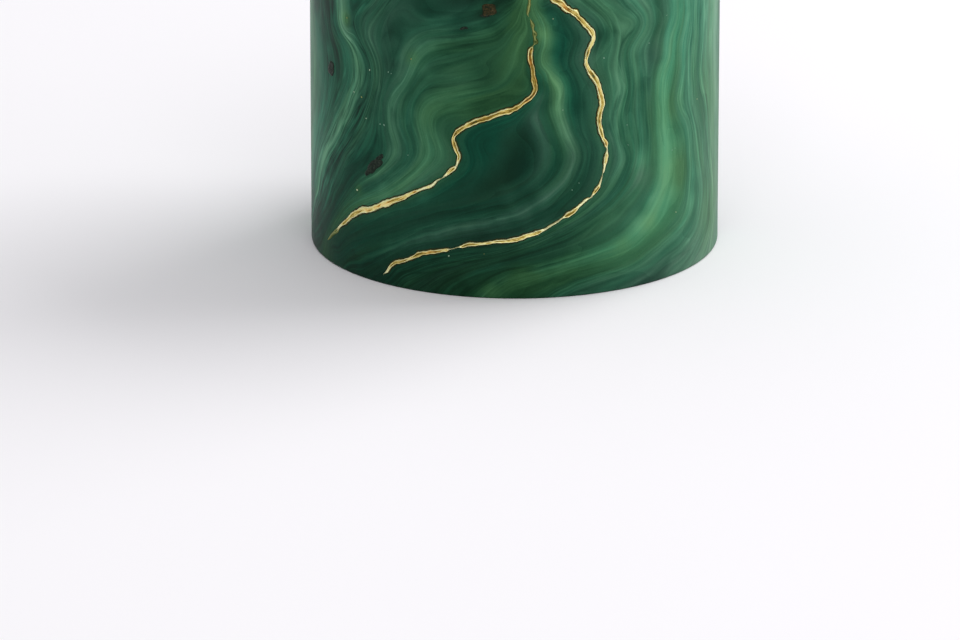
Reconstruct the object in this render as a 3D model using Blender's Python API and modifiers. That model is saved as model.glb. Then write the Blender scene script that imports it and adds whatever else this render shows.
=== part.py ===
"""Marble cake: a tall drum under a marbled skin, with raised seams and flakes of gold leaf.

One solid. The drum is turned, and the seams and flakes are fused to its skin. Metres, +Z up,
origin at the middle of the flat base. Bearings are in degrees round the cake, 0 at the front
(-Y) and growing towards +X. A climb is the distance up the skin from the base: straight up the
wall, round the top edge and then inwards over the top.
"""

import math
import random

import bmesh
import bpy
import numpy as np

MILLIMETRE = 0.001

# Drum.
CAKE_RADIUS = 0.078
CAKE_HEIGHT = 0.190
TOP_EDGE_RADIUS = 0.003
BASE_TUCK = 0.0008
ROUND_STEPS = 96
EDGE_STEPS = 4
WALL_RINGS = 8
TOP_RINGS = 3

# Seams of leaf: each is a half-sunk tube. The sink is a share of its own radius.
SEAM_SINK = 0.25
SEAM_STEP = 0.0028
SEAM_THINNEST = 0.0004
SEAM_BEVEL_RESOLUTION = 2

# Flakes of leaf: thin chips, partly pressed into the skin.
FLAKE_THICKNESS = 0.0009
FLAKE_PROUD = 0.0004
FLAKE_CORNERS = 9
FLAKE_RAGGEDNESS = 0.22
FLAKE_SEED = 11

SMOOTH_ANGLE = math.radians(35.0)
WELD_DISTANCE = 0.000002

# Routes of the seams, chosen by hand: (bearing in degrees, climb in mm, width in mm).
SEAM_ROUTES = {
    "seam_left": [
        (6.5, 128, 1.4), (4.5, 121, 1.2), (4.5, 115, 1.0), (4, 112, 0.9), (5, 107, 1.0),
        (6, 101.5, 1.1), (4.5, 97, 1.1), (4, 92, 1.2), (5, 86, 1.3), (5.5, 82, 1.4),
        (3.5, 79, 1.6), (0, 75.5, 1.9), (-4, 73.5, 1.9), (-9.5, 70.5, 1.7), (-14.5, 67.5, 1.6),
        (-16.5, 65, 1.6), (-17, 61.5, 1.5), (-16.5, 57.5, 1.4), (-15.5, 54, 1.5),
        (-16.5, 50.5, 1.4), (-19.5, 47, 0.9), (-24, 43, 1.3), (-28.5, 39, 1.8),
        (-33.5, 36, 1.8), (-38.5, 32.5, 2.1), (-44.5, 28.5, 2.4), (-48.5, 26.5, 2.2),
        (-53, 23, 2.0), (-57, 19, 1.6), (-61, 14, 1.2), (-64.5, 9.5, 0.8),
    ],
    "seam_right": [
        (34, 238, 0.9), (24, 222, 1.5), (19, 208, 2.0), (16, 197, 2.2), (12, 187, 2.2),
        (4, 176, 1.8), (-2, 165, 1.6), (-2, 153, 2.0), (3, 141, 2.4), (6.5, 128, 2.2),
        (9, 121, 2.2), (11.5, 116.5, 2.3), (14.5, 112.5, 2.5), (18, 108, 2.3),
        (21, 104, 2.1), (22, 100.5, 2.0), (21, 97, 2.2), (20, 93.5, 2.0), (20, 90, 1.9),
        (22, 86, 2.1), (24, 80.5, 2.3), (24.5, 75, 2.4), (24, 70, 2.1), (23.5, 65.5, 1.9),
        (25, 61, 2.0), (26, 57, 1.8), (25.5, 53, 1.5), (25, 48.5, 1.0), (24, 44.5, 1.3),
        (22.5, 41, 1.4), (20.5, 38.5, 1.6), (18, 36, 1.9), (16.5, 33.5, 2.3),
        (14, 31.5, 1.9), (10.5, 29, 0.8), (7, 26.5, 1.3), (3, 25, 2.0), (-1, 23.5, 1.7),
        (-7, 22.5, 1.4), (-12.5, 21, 1.2), (-16.5, 19.5, 0.9), (-21, 17.5, 1.5),
        (-25.5, 16, 1.7), (-28.5, 14.5, 1.3), (-32, 11.5, 1.5), (-36, 9.5, 1.7),
        (-37.5, 7, 1.6), (-39.5, 4, 1.0),
    ],
    "seam_back": [
        (214, 236, 1.0), (206, 222, 1.7), (208, 209, 2.1), (203, 198, 2.3), (196, 188, 2.2),
        (193, 177, 2.0), (196, 165, 1.7), (201, 154, 2.0), (200, 143, 2.3), (193, 134, 2.1),
        (183, 128, 1.8), (175, 121, 2.1), (172, 111, 1.9), (175, 100, 1.5), (173, 90, 1.8),
        (166, 81, 2.3), (156, 75, 2.2), (147, 68, 1.7), (143, 59, 1.2), (137, 51, 1.8),
        (127, 45, 2.2), (118, 37, 1.6), (112, 27, 1.0),
    ],
    "seam_back_branch": [
        (200, 143, 1.6), (207, 134, 1.5), (211, 124, 1.8), (209, 112, 2.1), (213, 101, 1.8),
        (218, 90, 1.5), (216, 78, 1.9), (209, 69, 2.2), (199, 62, 1.8), (190, 54, 1.2),
        (184, 44, 1.7), (175, 36, 2.1), (164, 31, 1.6), (154, 23, 1.1), (148, 13, 0.9),
    ],
}

# Flakes: (bearing in degrees, climb in mm, length in mm, width in mm, lean in degrees).
FLAKES = [
    (-7, 112.5, 5.0, 4.2, 20),
    (-42.5, 46.5, 7.0, 2.8, 58),
    (-15, 105.5, 4.0, 2.2, 15),
    (-62.5, 78, 4.4, 2.4, 80),
    (-54, 99.5, 3.0, 2.4, 100),
    (38, 152, 3.8, 3.0, 40),
    (62, 238, 4.6, 3.4, 25),
    (104, 96, 5.2, 3.6, 65),
    (150, 118, 3.6, 2.6, 30),
    (168, 60, 4.8, 2.6, 120),
    (226, 148, 4.2, 3.2, 50),
    (243, 66, 5.4, 3.0, 75),
    (282, 126, 3.4, 2.6, 15),
    (250, 226, 4.0, 2.8, 70),
]

BAND_GREEN = (0.030, 0.165, 0.095, 1.0)
LEAF_GOLD = (0.720, 0.500, 0.190, 1.0)


def make_material(name, colour, roughness, metallic):
    """A plain Principled material."""
    material = bpy.data.materials.new(name)
    material.use_nodes = True
    shader = material.node_tree.nodes["Principled BSDF"]
    shader.inputs["Base Color"].default_value = colour
    shader.inputs["Roughness"].default_value = roughness
    shader.inputs["Metallic"].default_value = metallic
    return material


def skin_frame(bearing, climb):
    """The point on the skin, its outward normal and the way up the skin, as arrays.

    A turned skin needs only its meridian: the wall up to the top edge, a quarter circle of
    TOP_EDGE_RADIUS, then a straight run inwards over the top.
    """
    wall = CAKE_HEIGHT - TOP_EDGE_RADIUS
    quarter = TOP_EDGE_RADIUS * math.pi / 2
    tilt = min(max((climb - wall) / TOP_EDGE_RADIUS, 0.0), math.pi / 2)
    over = max(climb - wall - quarter, 0.0)
    reach = CAKE_RADIUS - TOP_EDGE_RADIUS * (1 - math.cos(tilt)) - over
    height = min(climb, wall) + TOP_EDGE_RADIUS * math.sin(tilt)
    turn = math.radians(bearing)
    outward = np.array([math.sin(turn), -math.cos(turn), 0.0])
    upward = np.array([0.0, 0.0, 1.0])
    point = outward * reach + upward * height
    normal = outward * math.cos(tilt) + upward * math.sin(tilt)
    along = upward * math.cos(tilt) - outward * math.sin(tilt)
    return point, normal, along


def smooth_route(stops, step):
    """Points a step apart on a Catmull-Rom curve through the stops, with their widths."""
    rows = np.array(stops, dtype=float)
    padded = np.vstack([2 * rows[0] - rows[1], rows, 2 * rows[-1] - rows[-2]])
    samples = []
    for before, start, end, after in zip(padded, padded[1:], padded[2:], padded[3:]):
        across = math.radians(end[0] - start[0]) * CAKE_RADIUS
        upwards = (end[1] - start[1]) * MILLIMETRE
        count = max(1, round(math.hypot(across, upwards) / step))
        for t in np.arange(count) / count:
            samples.append(0.5 * (
                2 * start + (end - before) * t
                + (2 * before - 5 * start + 4 * end - after) * t ** 2
                + (3 * start - before - 3 * end + after) * t ** 3))
    samples.append(rows[-1])
    return samples


def curve_to_mesh(curve_object, collection):
    """Replace a curve object with a closed mesh of the same place and name."""
    name = curve_object.name
    evaluated = curve_object.evaluated_get(bpy.context.evaluated_depsgraph_get())
    mesh = bpy.data.meshes.new_from_object(evaluated)
    matrix = curve_object.matrix_world.copy()
    curve_object.name = name + "_guide"
    bpy.data.objects.remove(curve_object)
    welder = bmesh.new()
    welder.from_mesh(mesh)
    bmesh.ops.remove_doubles(welder, verts=welder.verts, dist=WELD_DISTANCE)
    bmesh.ops.recalc_face_normals(welder, faces=welder.faces)
    welder.to_mesh(mesh)
    welder.free()
    piece = bpy.data.objects.new(name, mesh)
    piece.matrix_world = matrix
    collection.objects.link(piece)
    return piece


def make_seam(name, stops, material, collection):
    """A seam of leaf: a tube that follows its route, sunk by a share of its radius."""
    curve = bpy.data.curves.new(name, "CURVE")
    curve.dimensions = "3D"
    curve.bevel_depth = 1.0
    curve.bevel_resolution = SEAM_BEVEL_RESOLUTION
    curve.use_fill_caps = True
    curve.materials.append(material)
    samples = smooth_route(stops, SEAM_STEP)
    spline = curve.splines.new("POLY")
    spline.points.add(len(samples) - 1)
    for control, (bearing, climb, width) in zip(spline.points, samples):
        radius = max(width * MILLIMETRE / 2, SEAM_THINNEST)
        point, normal, _ = skin_frame(bearing, climb * MILLIMETRE)
        control.co = (*(point - normal * radius * SEAM_SINK), 1.0)
        control.radius = radius
    seam = bpy.data.objects.new(name, curve)
    collection.objects.link(seam)
    bpy.context.view_layer.update()
    return curve_to_mesh(seam, collection)


def make_flake(name, place, material, collection, draw):
    """A flake of leaf: a ragged flat chip lying along the skin."""
    bearing, climb, length, width, lean = place
    point, normal, along = skin_frame(bearing, climb * MILLIMETRE)
    across = np.cross(along, normal)
    centre = point + normal * (FLAKE_PROUD - FLAKE_THICKNESS / 2)
    turn = math.radians(lean)
    curve = bpy.data.curves.new(name, "CURVE")
    curve.dimensions = "2D"
    curve.fill_mode = "BOTH"
    curve.extrude = FLAKE_THICKNESS / 2
    curve.materials.append(material)
    spline = curve.splines.new("POLY")
    spline.use_cyclic_u = True
    spline.points.add(FLAKE_CORNERS - 1)
    for corner, control in enumerate(spline.points):
        angle = math.tau * corner / FLAKE_CORNERS
        ragged = 1 + draw.uniform(-FLAKE_RAGGEDNESS, FLAKE_RAGGEDNESS)
        x = math.cos(angle) * length * MILLIMETRE / 2 * ragged
        y = math.sin(angle) * width * MILLIMETRE / 2 * ragged
        control.co = (x * math.cos(turn) - y * math.sin(turn),
                      x * math.sin(turn) + y * math.cos(turn), 0.0, 1.0)
    flake = bpy.data.objects.new(name, curve)
    for axis, direction in enumerate((across, along, normal, centre)):
        for row in range(3):
            flake.matrix_world[row][axis] = direction[row]
    collection.objects.link(flake)
    bpy.context.view_layer.update()
    return curve_to_mesh(flake, collection)


def drum_profile():
    """The drum's half outline as (reach, height), from the middle of the top down to the base."""
    flat = CAKE_RADIUS - TOP_EDGE_RADIUS
    wall_top = CAKE_HEIGHT - TOP_EDGE_RADIUS
    outline = [(flat * ring / TOP_RINGS, CAKE_HEIGHT) for ring in range(TOP_RINGS)]
    for step in range(EDGE_STEPS + 1):
        turn = math.pi / 2 * step / EDGE_STEPS
        outline.append((flat + TOP_EDGE_RADIUS * math.sin(turn),
                        wall_top + TOP_EDGE_RADIUS * math.cos(turn)))
    for ring in range(1, WALL_RINGS + 1):
        outline.append((CAKE_RADIUS, wall_top + (BASE_TUCK - wall_top) * ring / WALL_RINGS))
    outline.append((CAKE_RADIUS - BASE_TUCK, 0.0))
    outline.append((0.0, 0.0))
    return outline


def make_drum(name, material, collection):
    """The drum: the half outline turned about the upright axis."""
    mesh = bpy.data.meshes.new(name)
    outline = [(reach, 0.0, height) for reach, height in drum_profile()]
    mesh.from_pydata(outline, [(i, i + 1) for i in range(len(outline) - 1)], [])
    mesh.materials.append(material)
    drum = bpy.data.objects.new(name, mesh)
    collection.objects.link(drum)
    screw = drum.modifiers.new("turning", "SCREW")
    screw.axis = "Z"
    screw.steps = ROUND_STEPS
    screw.render_steps = ROUND_STEPS
    screw.use_merge_vertices = True
    screw.merge_threshold = WELD_DISTANCE
    screw.use_normal_calculate = True
    return drum


def fuse(body, collection):
    """Join a collection's pieces to the body with one Boolean union, and remove them."""
    union = body.modifiers.new("fusing", "BOOLEAN")
    union.operation = "UNION"
    union.operand_type = "COLLECTION"
    union.collection = collection
    union.solver = "EXACT"
    union.material_mode = "TRANSFER"
    evaluated = body.evaluated_get(bpy.context.evaluated_depsgraph_get())
    fused = bpy.data.meshes.new_from_object(evaluated)
    fused.name = body.name
    body.modifiers.clear()
    body.data = fused
    for piece in list(collection.objects):
        bpy.data.objects.remove(piece)


def clean_mesh(piece):
    """Weld what the union left apart by a hair, and shade the round faces smooth."""
    mesh = piece.data
    cleaner = bmesh.new()
    cleaner.from_mesh(mesh)
    bmesh.ops.remove_doubles(cleaner, verts=cleaner.verts, dist=WELD_DISTANCE)
    bmesh.ops.dissolve_degenerate(cleaner, edges=cleaner.edges, dist=WELD_DISTANCE)
    cleaner.to_mesh(mesh)
    cleaner.free()
    mesh.shade_smooth()
    mesh.set_sharp_from_angle(angle=SMOOTH_ANGLE)


def main():
    """Build the cake."""
    for old in list(bpy.data.objects):
        bpy.data.objects.remove(old)
    cake_collection = bpy.data.collections.new("marble_cake")
    leaf_collection = bpy.data.collections.new("gold_leaf_relief")
    for collection in (cake_collection, leaf_collection):
        bpy.context.scene.collection.children.link(collection)

    icing = make_material("marbled_icing", BAND_GREEN, roughness=0.42, metallic=0.0)
    gold = make_material("gold_leaf", LEAF_GOLD, roughness=0.35, metallic=1.0)

    cake = make_drum("cake", icing, cake_collection)
    for name, stops in SEAM_ROUTES.items():
        make_seam(name, stops, gold, leaf_collection)
    draw = random.Random(FLAKE_SEED)
    for number, place in enumerate(FLAKES, start=1):
        make_flake(f"flake_{number:02d}", place, gold, leaf_collection, draw)
    fuse(cake, leaf_collection)
    clean_mesh(cake)


main()
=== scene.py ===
"""The looks of a tall marble cake: marbled sugar paste with seams, flakes and specks of gold leaf.

The cake stands on z = 0 with its axis on the origin. A place on its skin is given by a bearing, in
degrees round the cake from the front (-Y) towards +X, and by a climb, in millimetres up the skin
from the base: straight up the wall, round the top edge, then inwards over the top. Surfaces are
worked out in millimetres and made in metres.
"""

import logging
import math
from dataclasses import dataclass
from enum import Enum

import bpy
import numpy as np
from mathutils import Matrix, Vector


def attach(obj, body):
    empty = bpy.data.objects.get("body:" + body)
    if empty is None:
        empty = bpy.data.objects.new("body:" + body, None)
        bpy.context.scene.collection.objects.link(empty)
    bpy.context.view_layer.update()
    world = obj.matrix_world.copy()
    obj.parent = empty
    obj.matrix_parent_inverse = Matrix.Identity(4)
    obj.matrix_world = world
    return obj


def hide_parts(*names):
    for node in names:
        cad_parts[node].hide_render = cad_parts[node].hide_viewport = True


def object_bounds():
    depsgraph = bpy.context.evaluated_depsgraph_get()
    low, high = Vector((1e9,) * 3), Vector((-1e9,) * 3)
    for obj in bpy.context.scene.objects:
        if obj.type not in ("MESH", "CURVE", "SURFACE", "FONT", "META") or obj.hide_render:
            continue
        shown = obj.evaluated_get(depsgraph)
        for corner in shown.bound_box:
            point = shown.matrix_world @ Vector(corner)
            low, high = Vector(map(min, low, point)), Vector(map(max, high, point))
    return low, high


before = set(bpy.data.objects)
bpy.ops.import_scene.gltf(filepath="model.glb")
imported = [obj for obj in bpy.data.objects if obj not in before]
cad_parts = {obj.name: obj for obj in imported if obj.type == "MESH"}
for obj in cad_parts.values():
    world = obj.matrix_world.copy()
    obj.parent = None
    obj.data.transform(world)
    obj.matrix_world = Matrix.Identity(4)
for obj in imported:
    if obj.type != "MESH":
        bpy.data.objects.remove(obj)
CAD_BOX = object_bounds()

LOG = logging.getLogger("marble_cake")
MM = 0.001
CAKE_NODE = "cake"
CAKE_BODY = "root"
CAKE_HEIGHT = 190.0  # millimetres to the flat top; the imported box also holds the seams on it

Colour = tuple[float, float, float]
Ramp = tuple[tuple[float, Colour], ...]
Tints = tuple[tuple[float, ...], tuple[float, ...]]
Pair = tuple[float, float]
Stop = tuple[float, float, float]
Wave = tuple[float, float, float]
Faces = list[list[int]]


class Slot(Enum):
    """The record's material slots, one for each of the pieces' finishes."""

    PASTE = "marbled_icing"
    LEAF = "gold_leaf"


# ---------------------------------------------------------------------------------------------
# Shader maths
# ---------------------------------------------------------------------------------------------


class Value:
    """A socket that can be used in a Python expression; each operator adds a Math node."""

    def __init__(self, nodes: "NodeMaker", socket: bpy.types.NodeSocket) -> None:
        """Wrap a socket of the tree that a maker works in."""
        self.nodes = nodes
        self.socket = socket

    def _math(self, operation: str, *others: "Value | float", clamp: bool = False) -> "Value":
        """Add a Math node.

        Args:
            operation: the Math node's operation.
            *others: the values after this one.
            clamp: whether the result is kept between 0 and 1.

        Returns:
            The node's result.
        """
        settings = {"operation": operation, "use_clamp": clamp}
        return self.nodes.make("ShaderNodeMath", settings, dict(enumerate((self, *others))))

    def _reflected(self, operation: str, other: float) -> "Value":
        """The operation with a plain number on its left."""
        return self.nodes.make("ShaderNodeMath", {"operation": operation}, {0: other, 1: self})

    def __add__(self, other: "Value | float") -> "Value":
        """Sum."""
        return self._math("ADD", other)

    def __radd__(self, other: float) -> "Value":
        """Sum with a number on the left."""
        return self._reflected("ADD", other)

    def __sub__(self, other: "Value | float") -> "Value":
        """Difference."""
        return self._math("SUBTRACT", other)

    def __rsub__(self, other: float) -> "Value":
        """Difference with a number on the left."""
        return self._reflected("SUBTRACT", other)

    def __mul__(self, other: "Value | float") -> "Value":
        """Product."""
        return self._math("MULTIPLY", other)

    def __rmul__(self, other: float) -> "Value":
        """Product with a number on the left."""
        return self._reflected("MULTIPLY", other)

    def __abs__(self) -> "Value":
        """Size without sign."""
        return self._math("ABSOLUTE")

    def clamped(self) -> "Value":
        """The value kept between 0 and 1."""
        return self._math("ADD", 0.0, clamp=True)

    def fraction(self) -> "Value":
        """The part of the value after its whole number: a saw's teeth."""
        return self._math("FRACT")

    def pulse(self, middle: float, reach: float) -> "Value":
        """A tent over the value: 1 less its distance from the middle, in reaches.

        Args:
            middle: the value at which the tent is 1.
            reach: how far from there it falls to 0.

        Returns:
            The tent's height.
        """
        settings = {"operation": "MULTIPLY_ADD", "use_clamp": True}
        inputs = {0: abs(self - middle), 1: -1.0 / reach, 2: 1.0}
        return self.nodes.make("ShaderNodeMath", settings, inputs)

    def step(self, low: float, high: float) -> "Value":
        """A smooth step.

        Args:
            low: the value up to which it is 0.
            high: the value from which it is 1.

        Returns:
            The step's height.
        """
        settings = {"interpolation_type": "SMOOTHSTEP"}
        inputs = {"Value": self, "From Min": low, "From Max": high}
        return self.nodes.make("ShaderNodeMapRange", settings, inputs)


class NodeMaker:
    """Makes a material's nodes."""

    # A Mix node's colour sockets: the share, the two colours and the result.
    MIX_SHARE, MIX_FIRST, MIX_SECOND, MIX_RESULT = 0, 6, 7, 2

    def __init__(self, name: str) -> None:
        """Start a material with an empty tree.

        Args:
            name: the material's name.
        """
        self.material = bpy.data.materials.new(name)
        self.material.use_nodes = True
        self.tree = self.material.node_tree
        self.tree.nodes.clear()

    def make(self, kind: str, settings: dict, inputs: dict, output: int | str = 0) -> Value:
        """Add one node.

        Args:
            kind: the node's type.
            settings: its own settings, set first; "stops" fills a colour ramp.
            inputs: socket name or number to a number, a colour or another value.
            output: the socket that is returned.

        Returns:
            The output as a value.
        """
        node = self.tree.nodes.new(kind)
        for name, setting in settings.items():
            if name == "stops":
                self._fill_ramp(node.color_ramp, setting)
            else:
                setattr(node, name, setting)
        for name, given in inputs.items():
            if isinstance(given, Value):
                self.tree.links.new(given.socket, node.inputs[name])
            else:
                node.inputs[name].default_value = given
        return Value(self, node.outputs[output])

    @staticmethod
    def _fill_ramp(ramp: bpy.types.ColorRamp, stops: Ramp) -> None:
        """Give a colour ramp its stops.

        Args:
            ramp: the ramp.
            stops: a place from 0 to 1 and a colour for each stop.
        """
        while len(ramp.elements) < len(stops):
            ramp.elements.new(1.0)
        for element, (place, colour) in zip(ramp.elements, stops):
            element.position = place
            element.color = (*colour, 1.0)

    def attribute(self, name: str) -> Value:
        """A number that the mesh carries at each vertex."""
        return self.make("ShaderNodeAttribute", {"attribute_name": name}, {}, "Fac")

    def position(self) -> Value:
        """The place on the piece, in metres."""
        return self.make("ShaderNodeTexCoord", {}, {}, "Object")

    def ramp(self, value: Value, stops: Ramp) -> Value:
        """A colour looked up along a ramp."""
        return self.make("ShaderNodeValToRGB", {"stops": stops}, {"Fac": value})

    def mix(self, share: Value, first: Value, second: Value | tuple) -> Value:
        """Blend two colours.

        Args:
            share: the second colour's share, from 0 to 1.
            first: the colour at 0.
            second: the colour at 1.

        Returns:
            The blend.
        """
        settings = {"data_type": "RGBA", "blend_type": "MIX"}
        inputs = {self.MIX_SHARE: share, self.MIX_FIRST: first, self.MIX_SECOND: second}
        return self.make("ShaderNodeMix", settings, inputs, self.MIX_RESULT)

    def noise(self, scale: float, detail: float, roughness: float,
              layer: Value | float) -> Value:
        """Smooth noise over the piece.

        Args:
            scale: how many features to a metre.
            detail: how many finer layers.
            roughness: how strong the finer layers are.
            layer: a fourth coordinate, in features; the noise changes along it as well.

        Returns:
            The noise, about 0.
        """
        layered = layer * (1.0 / scale) if isinstance(layer, Value) else layer / scale
        inputs = {"Vector": self.position(), "W": layered, "Scale": scale, "Detail": detail,
                  "Roughness": roughness}
        return self.make("ShaderNodeTexNoise", {"noise_dimensions": "4D"}, inputs) - 0.5

    def bump(self, height: Value, distance: float) -> Value:
        """A normal tilted by a height given in units of a distance in metres."""
        return self.make("ShaderNodeBump", {}, {"Height": height, "Distance": distance})

    def finish(self, **sockets: "Value | float | tuple") -> bpy.types.Material:
        """Close the tree with a Principled shader.

        Args:
            **sockets: values of the shader's sockets, with _ for each space in a name.

        Returns:
            The material.
        """
        named = {name.replace("_", " "): given for name, given in sockets.items()}
        shader = self.make("ShaderNodeBsdfPrincipled", {}, named)
        output = self.tree.nodes.new("ShaderNodeOutputMaterial")
        self.tree.links.new(shader.socket, output.inputs["Surface"])
        return self.material


# ---------------------------------------------------------------------------------------------
# The skin and what lies along it
# ---------------------------------------------------------------------------------------------


@dataclass(frozen=True)
class Skin:
    """The drum's outer surface, in millimetres."""

    radius: float
    height: float
    edge_radius: float = 3.0
    tuck: float = 0.8

    @property
    def wall(self) -> float:
        """The climb at which the top edge starts."""
        return self.height - self.edge_radius

    @property
    def rim(self) -> float:
        """The climb at which the flat top starts."""
        return self.wall + self.edge_radius * math.pi / 2

    def frames(self, bearing: np.ndarray, climb: np.ndarray) -> tuple[np.ndarray, ...]:
        """Places on the skin.

        The meridian is the wall up to the top edge, a quarter circle, then a straight run
        inwards; it is turned about the upright axis to the bearing.

        Args:
            bearing: degrees round the cake.
            climb: millimetres up the skin.

        Returns:
            The points, the outward normals, the directions round the cake and up the skin.
        """
        tilt = np.clip((climb - self.wall) / self.edge_radius, 0.0, math.pi / 2)
        over = np.maximum(climb - self.rim, 0.0)
        reach = self.radius - self.edge_radius * (1.0 - np.cos(tilt)) - over
        level = np.minimum(climb, self.wall) + self.edge_radius * np.sin(tilt)
        turn = np.radians(bearing)
        outward = np.stack([np.sin(turn), -np.cos(turn), np.zeros_like(turn)], -1)
        across = np.stack([np.cos(turn), np.sin(turn), np.zeros_like(turn)], -1)
        upward = np.array([0.0, 0.0, 1.0])
        cosine, sine = np.cos(tilt)[..., None], np.sin(tilt)[..., None]
        point = outward * reach[..., None] + upward * level[..., None]
        return point, outward * cosine + upward * sine, across, upward * cosine - outward * sine

    def points(self, bearing: np.ndarray, climb: np.ndarray) -> np.ndarray:
        """The points of frames alone."""
        return self.frames(np.asarray(bearing, float), np.asarray(climb, float))[0]


def smooth_path(stops: np.ndarray, skin: Skin, step: float) -> np.ndarray:
    """Points about a step apart along a curve through given stops.

    Each stretch between two stops is a Catmull-Rom cubic of the stops round it.

    Args:
        stops: rows of (bearing, climb, ...); every column is carried along the curve.
        skin: the surface the stops lie on, which turns degrees into millimetres.
        step: the spacing in millimetres.

    Returns:
        Rows like those of stops.
    """
    padded = np.vstack([2 * stops[0] - stops[1], stops, 2 * stops[-1] - stops[-2]])
    round_mm = math.radians(1.0) * skin.radius
    stretches = []
    for before, start, end, after in zip(padded, padded[1:], padded[2:], padded[3:]):
        length = math.hypot((end[0] - start[0]) * round_mm, end[1] - start[1])
        count = max(1, round(length / step))
        t = (np.arange(count) / count)[:, None]
        stretches.append(0.5 * (
            2 * start + (end - before) * t
            + (2 * before - 5 * start + 4 * end - after) * t ** 2
            + (3 * start - before - 3 * end + after) * t ** 3))
    return np.vstack([*stretches, stops[-1:]])


# ---------------------------------------------------------------------------------------------
# The marbling
# ---------------------------------------------------------------------------------------------


@dataclass(frozen=True)
class Strand:
    """One line that the marbling follows, drawn out when the pastes were twisted together.

    layer orders the strands from one side of the twist to the other, about one to a centimetre.
    tones run from 0, the darkest green, to 1, the palest, at even shares of the strand's length.
    leaf and teal say in the same way how much the green turns to leaf green and, above 0, to
    blue-green or, below 0, to grey; comb says how strongly fine hairs of paste show beside it.
    The grey is partly the paste's own and partly painted sheen, low on the right edge.
    """

    layer: float
    tones: tuple[float, ...]
    leaf: tuple[float, ...]
    teal: tuple[float, ...]
    comb: float
    stops: tuple[Pair, ...]

    def rows(self, share: np.ndarray) -> np.ndarray:
        """Read what the strand says along its length.

        Args:
            share: shares of its length, from 0 to 1.

        Returns:
            Rows of (layer, tone, leaf, teal, comb).
        """
        columns = [(self.layer,), self.tones, self.leaf, self.teal, (self.comb,)]
        return np.stack([
            np.interp(share, np.linspace(0.0, 1.0, len(column)), column) for column in columns
        ], -1)


@dataclass(frozen=True)
class Bloom:
    """A soft round patch on the marbling.

    It lies at a bearing and a climb and fades over its reach, in millimetres, as a bell does.
    Its tone, leaf, teal and comb are added to what the strands say.
    """

    bearing: float
    climb: float
    reach: float
    tone: float
    leaf: float = 0.0
    teal: float = 0.0
    comb: float = 0.0


# Low on the left edge the lowest stops' teal runs above 1 to take the red out: painted shade near
# the base. Low on the right edge their teal falls below 0 to grey: painted sheen.
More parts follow.
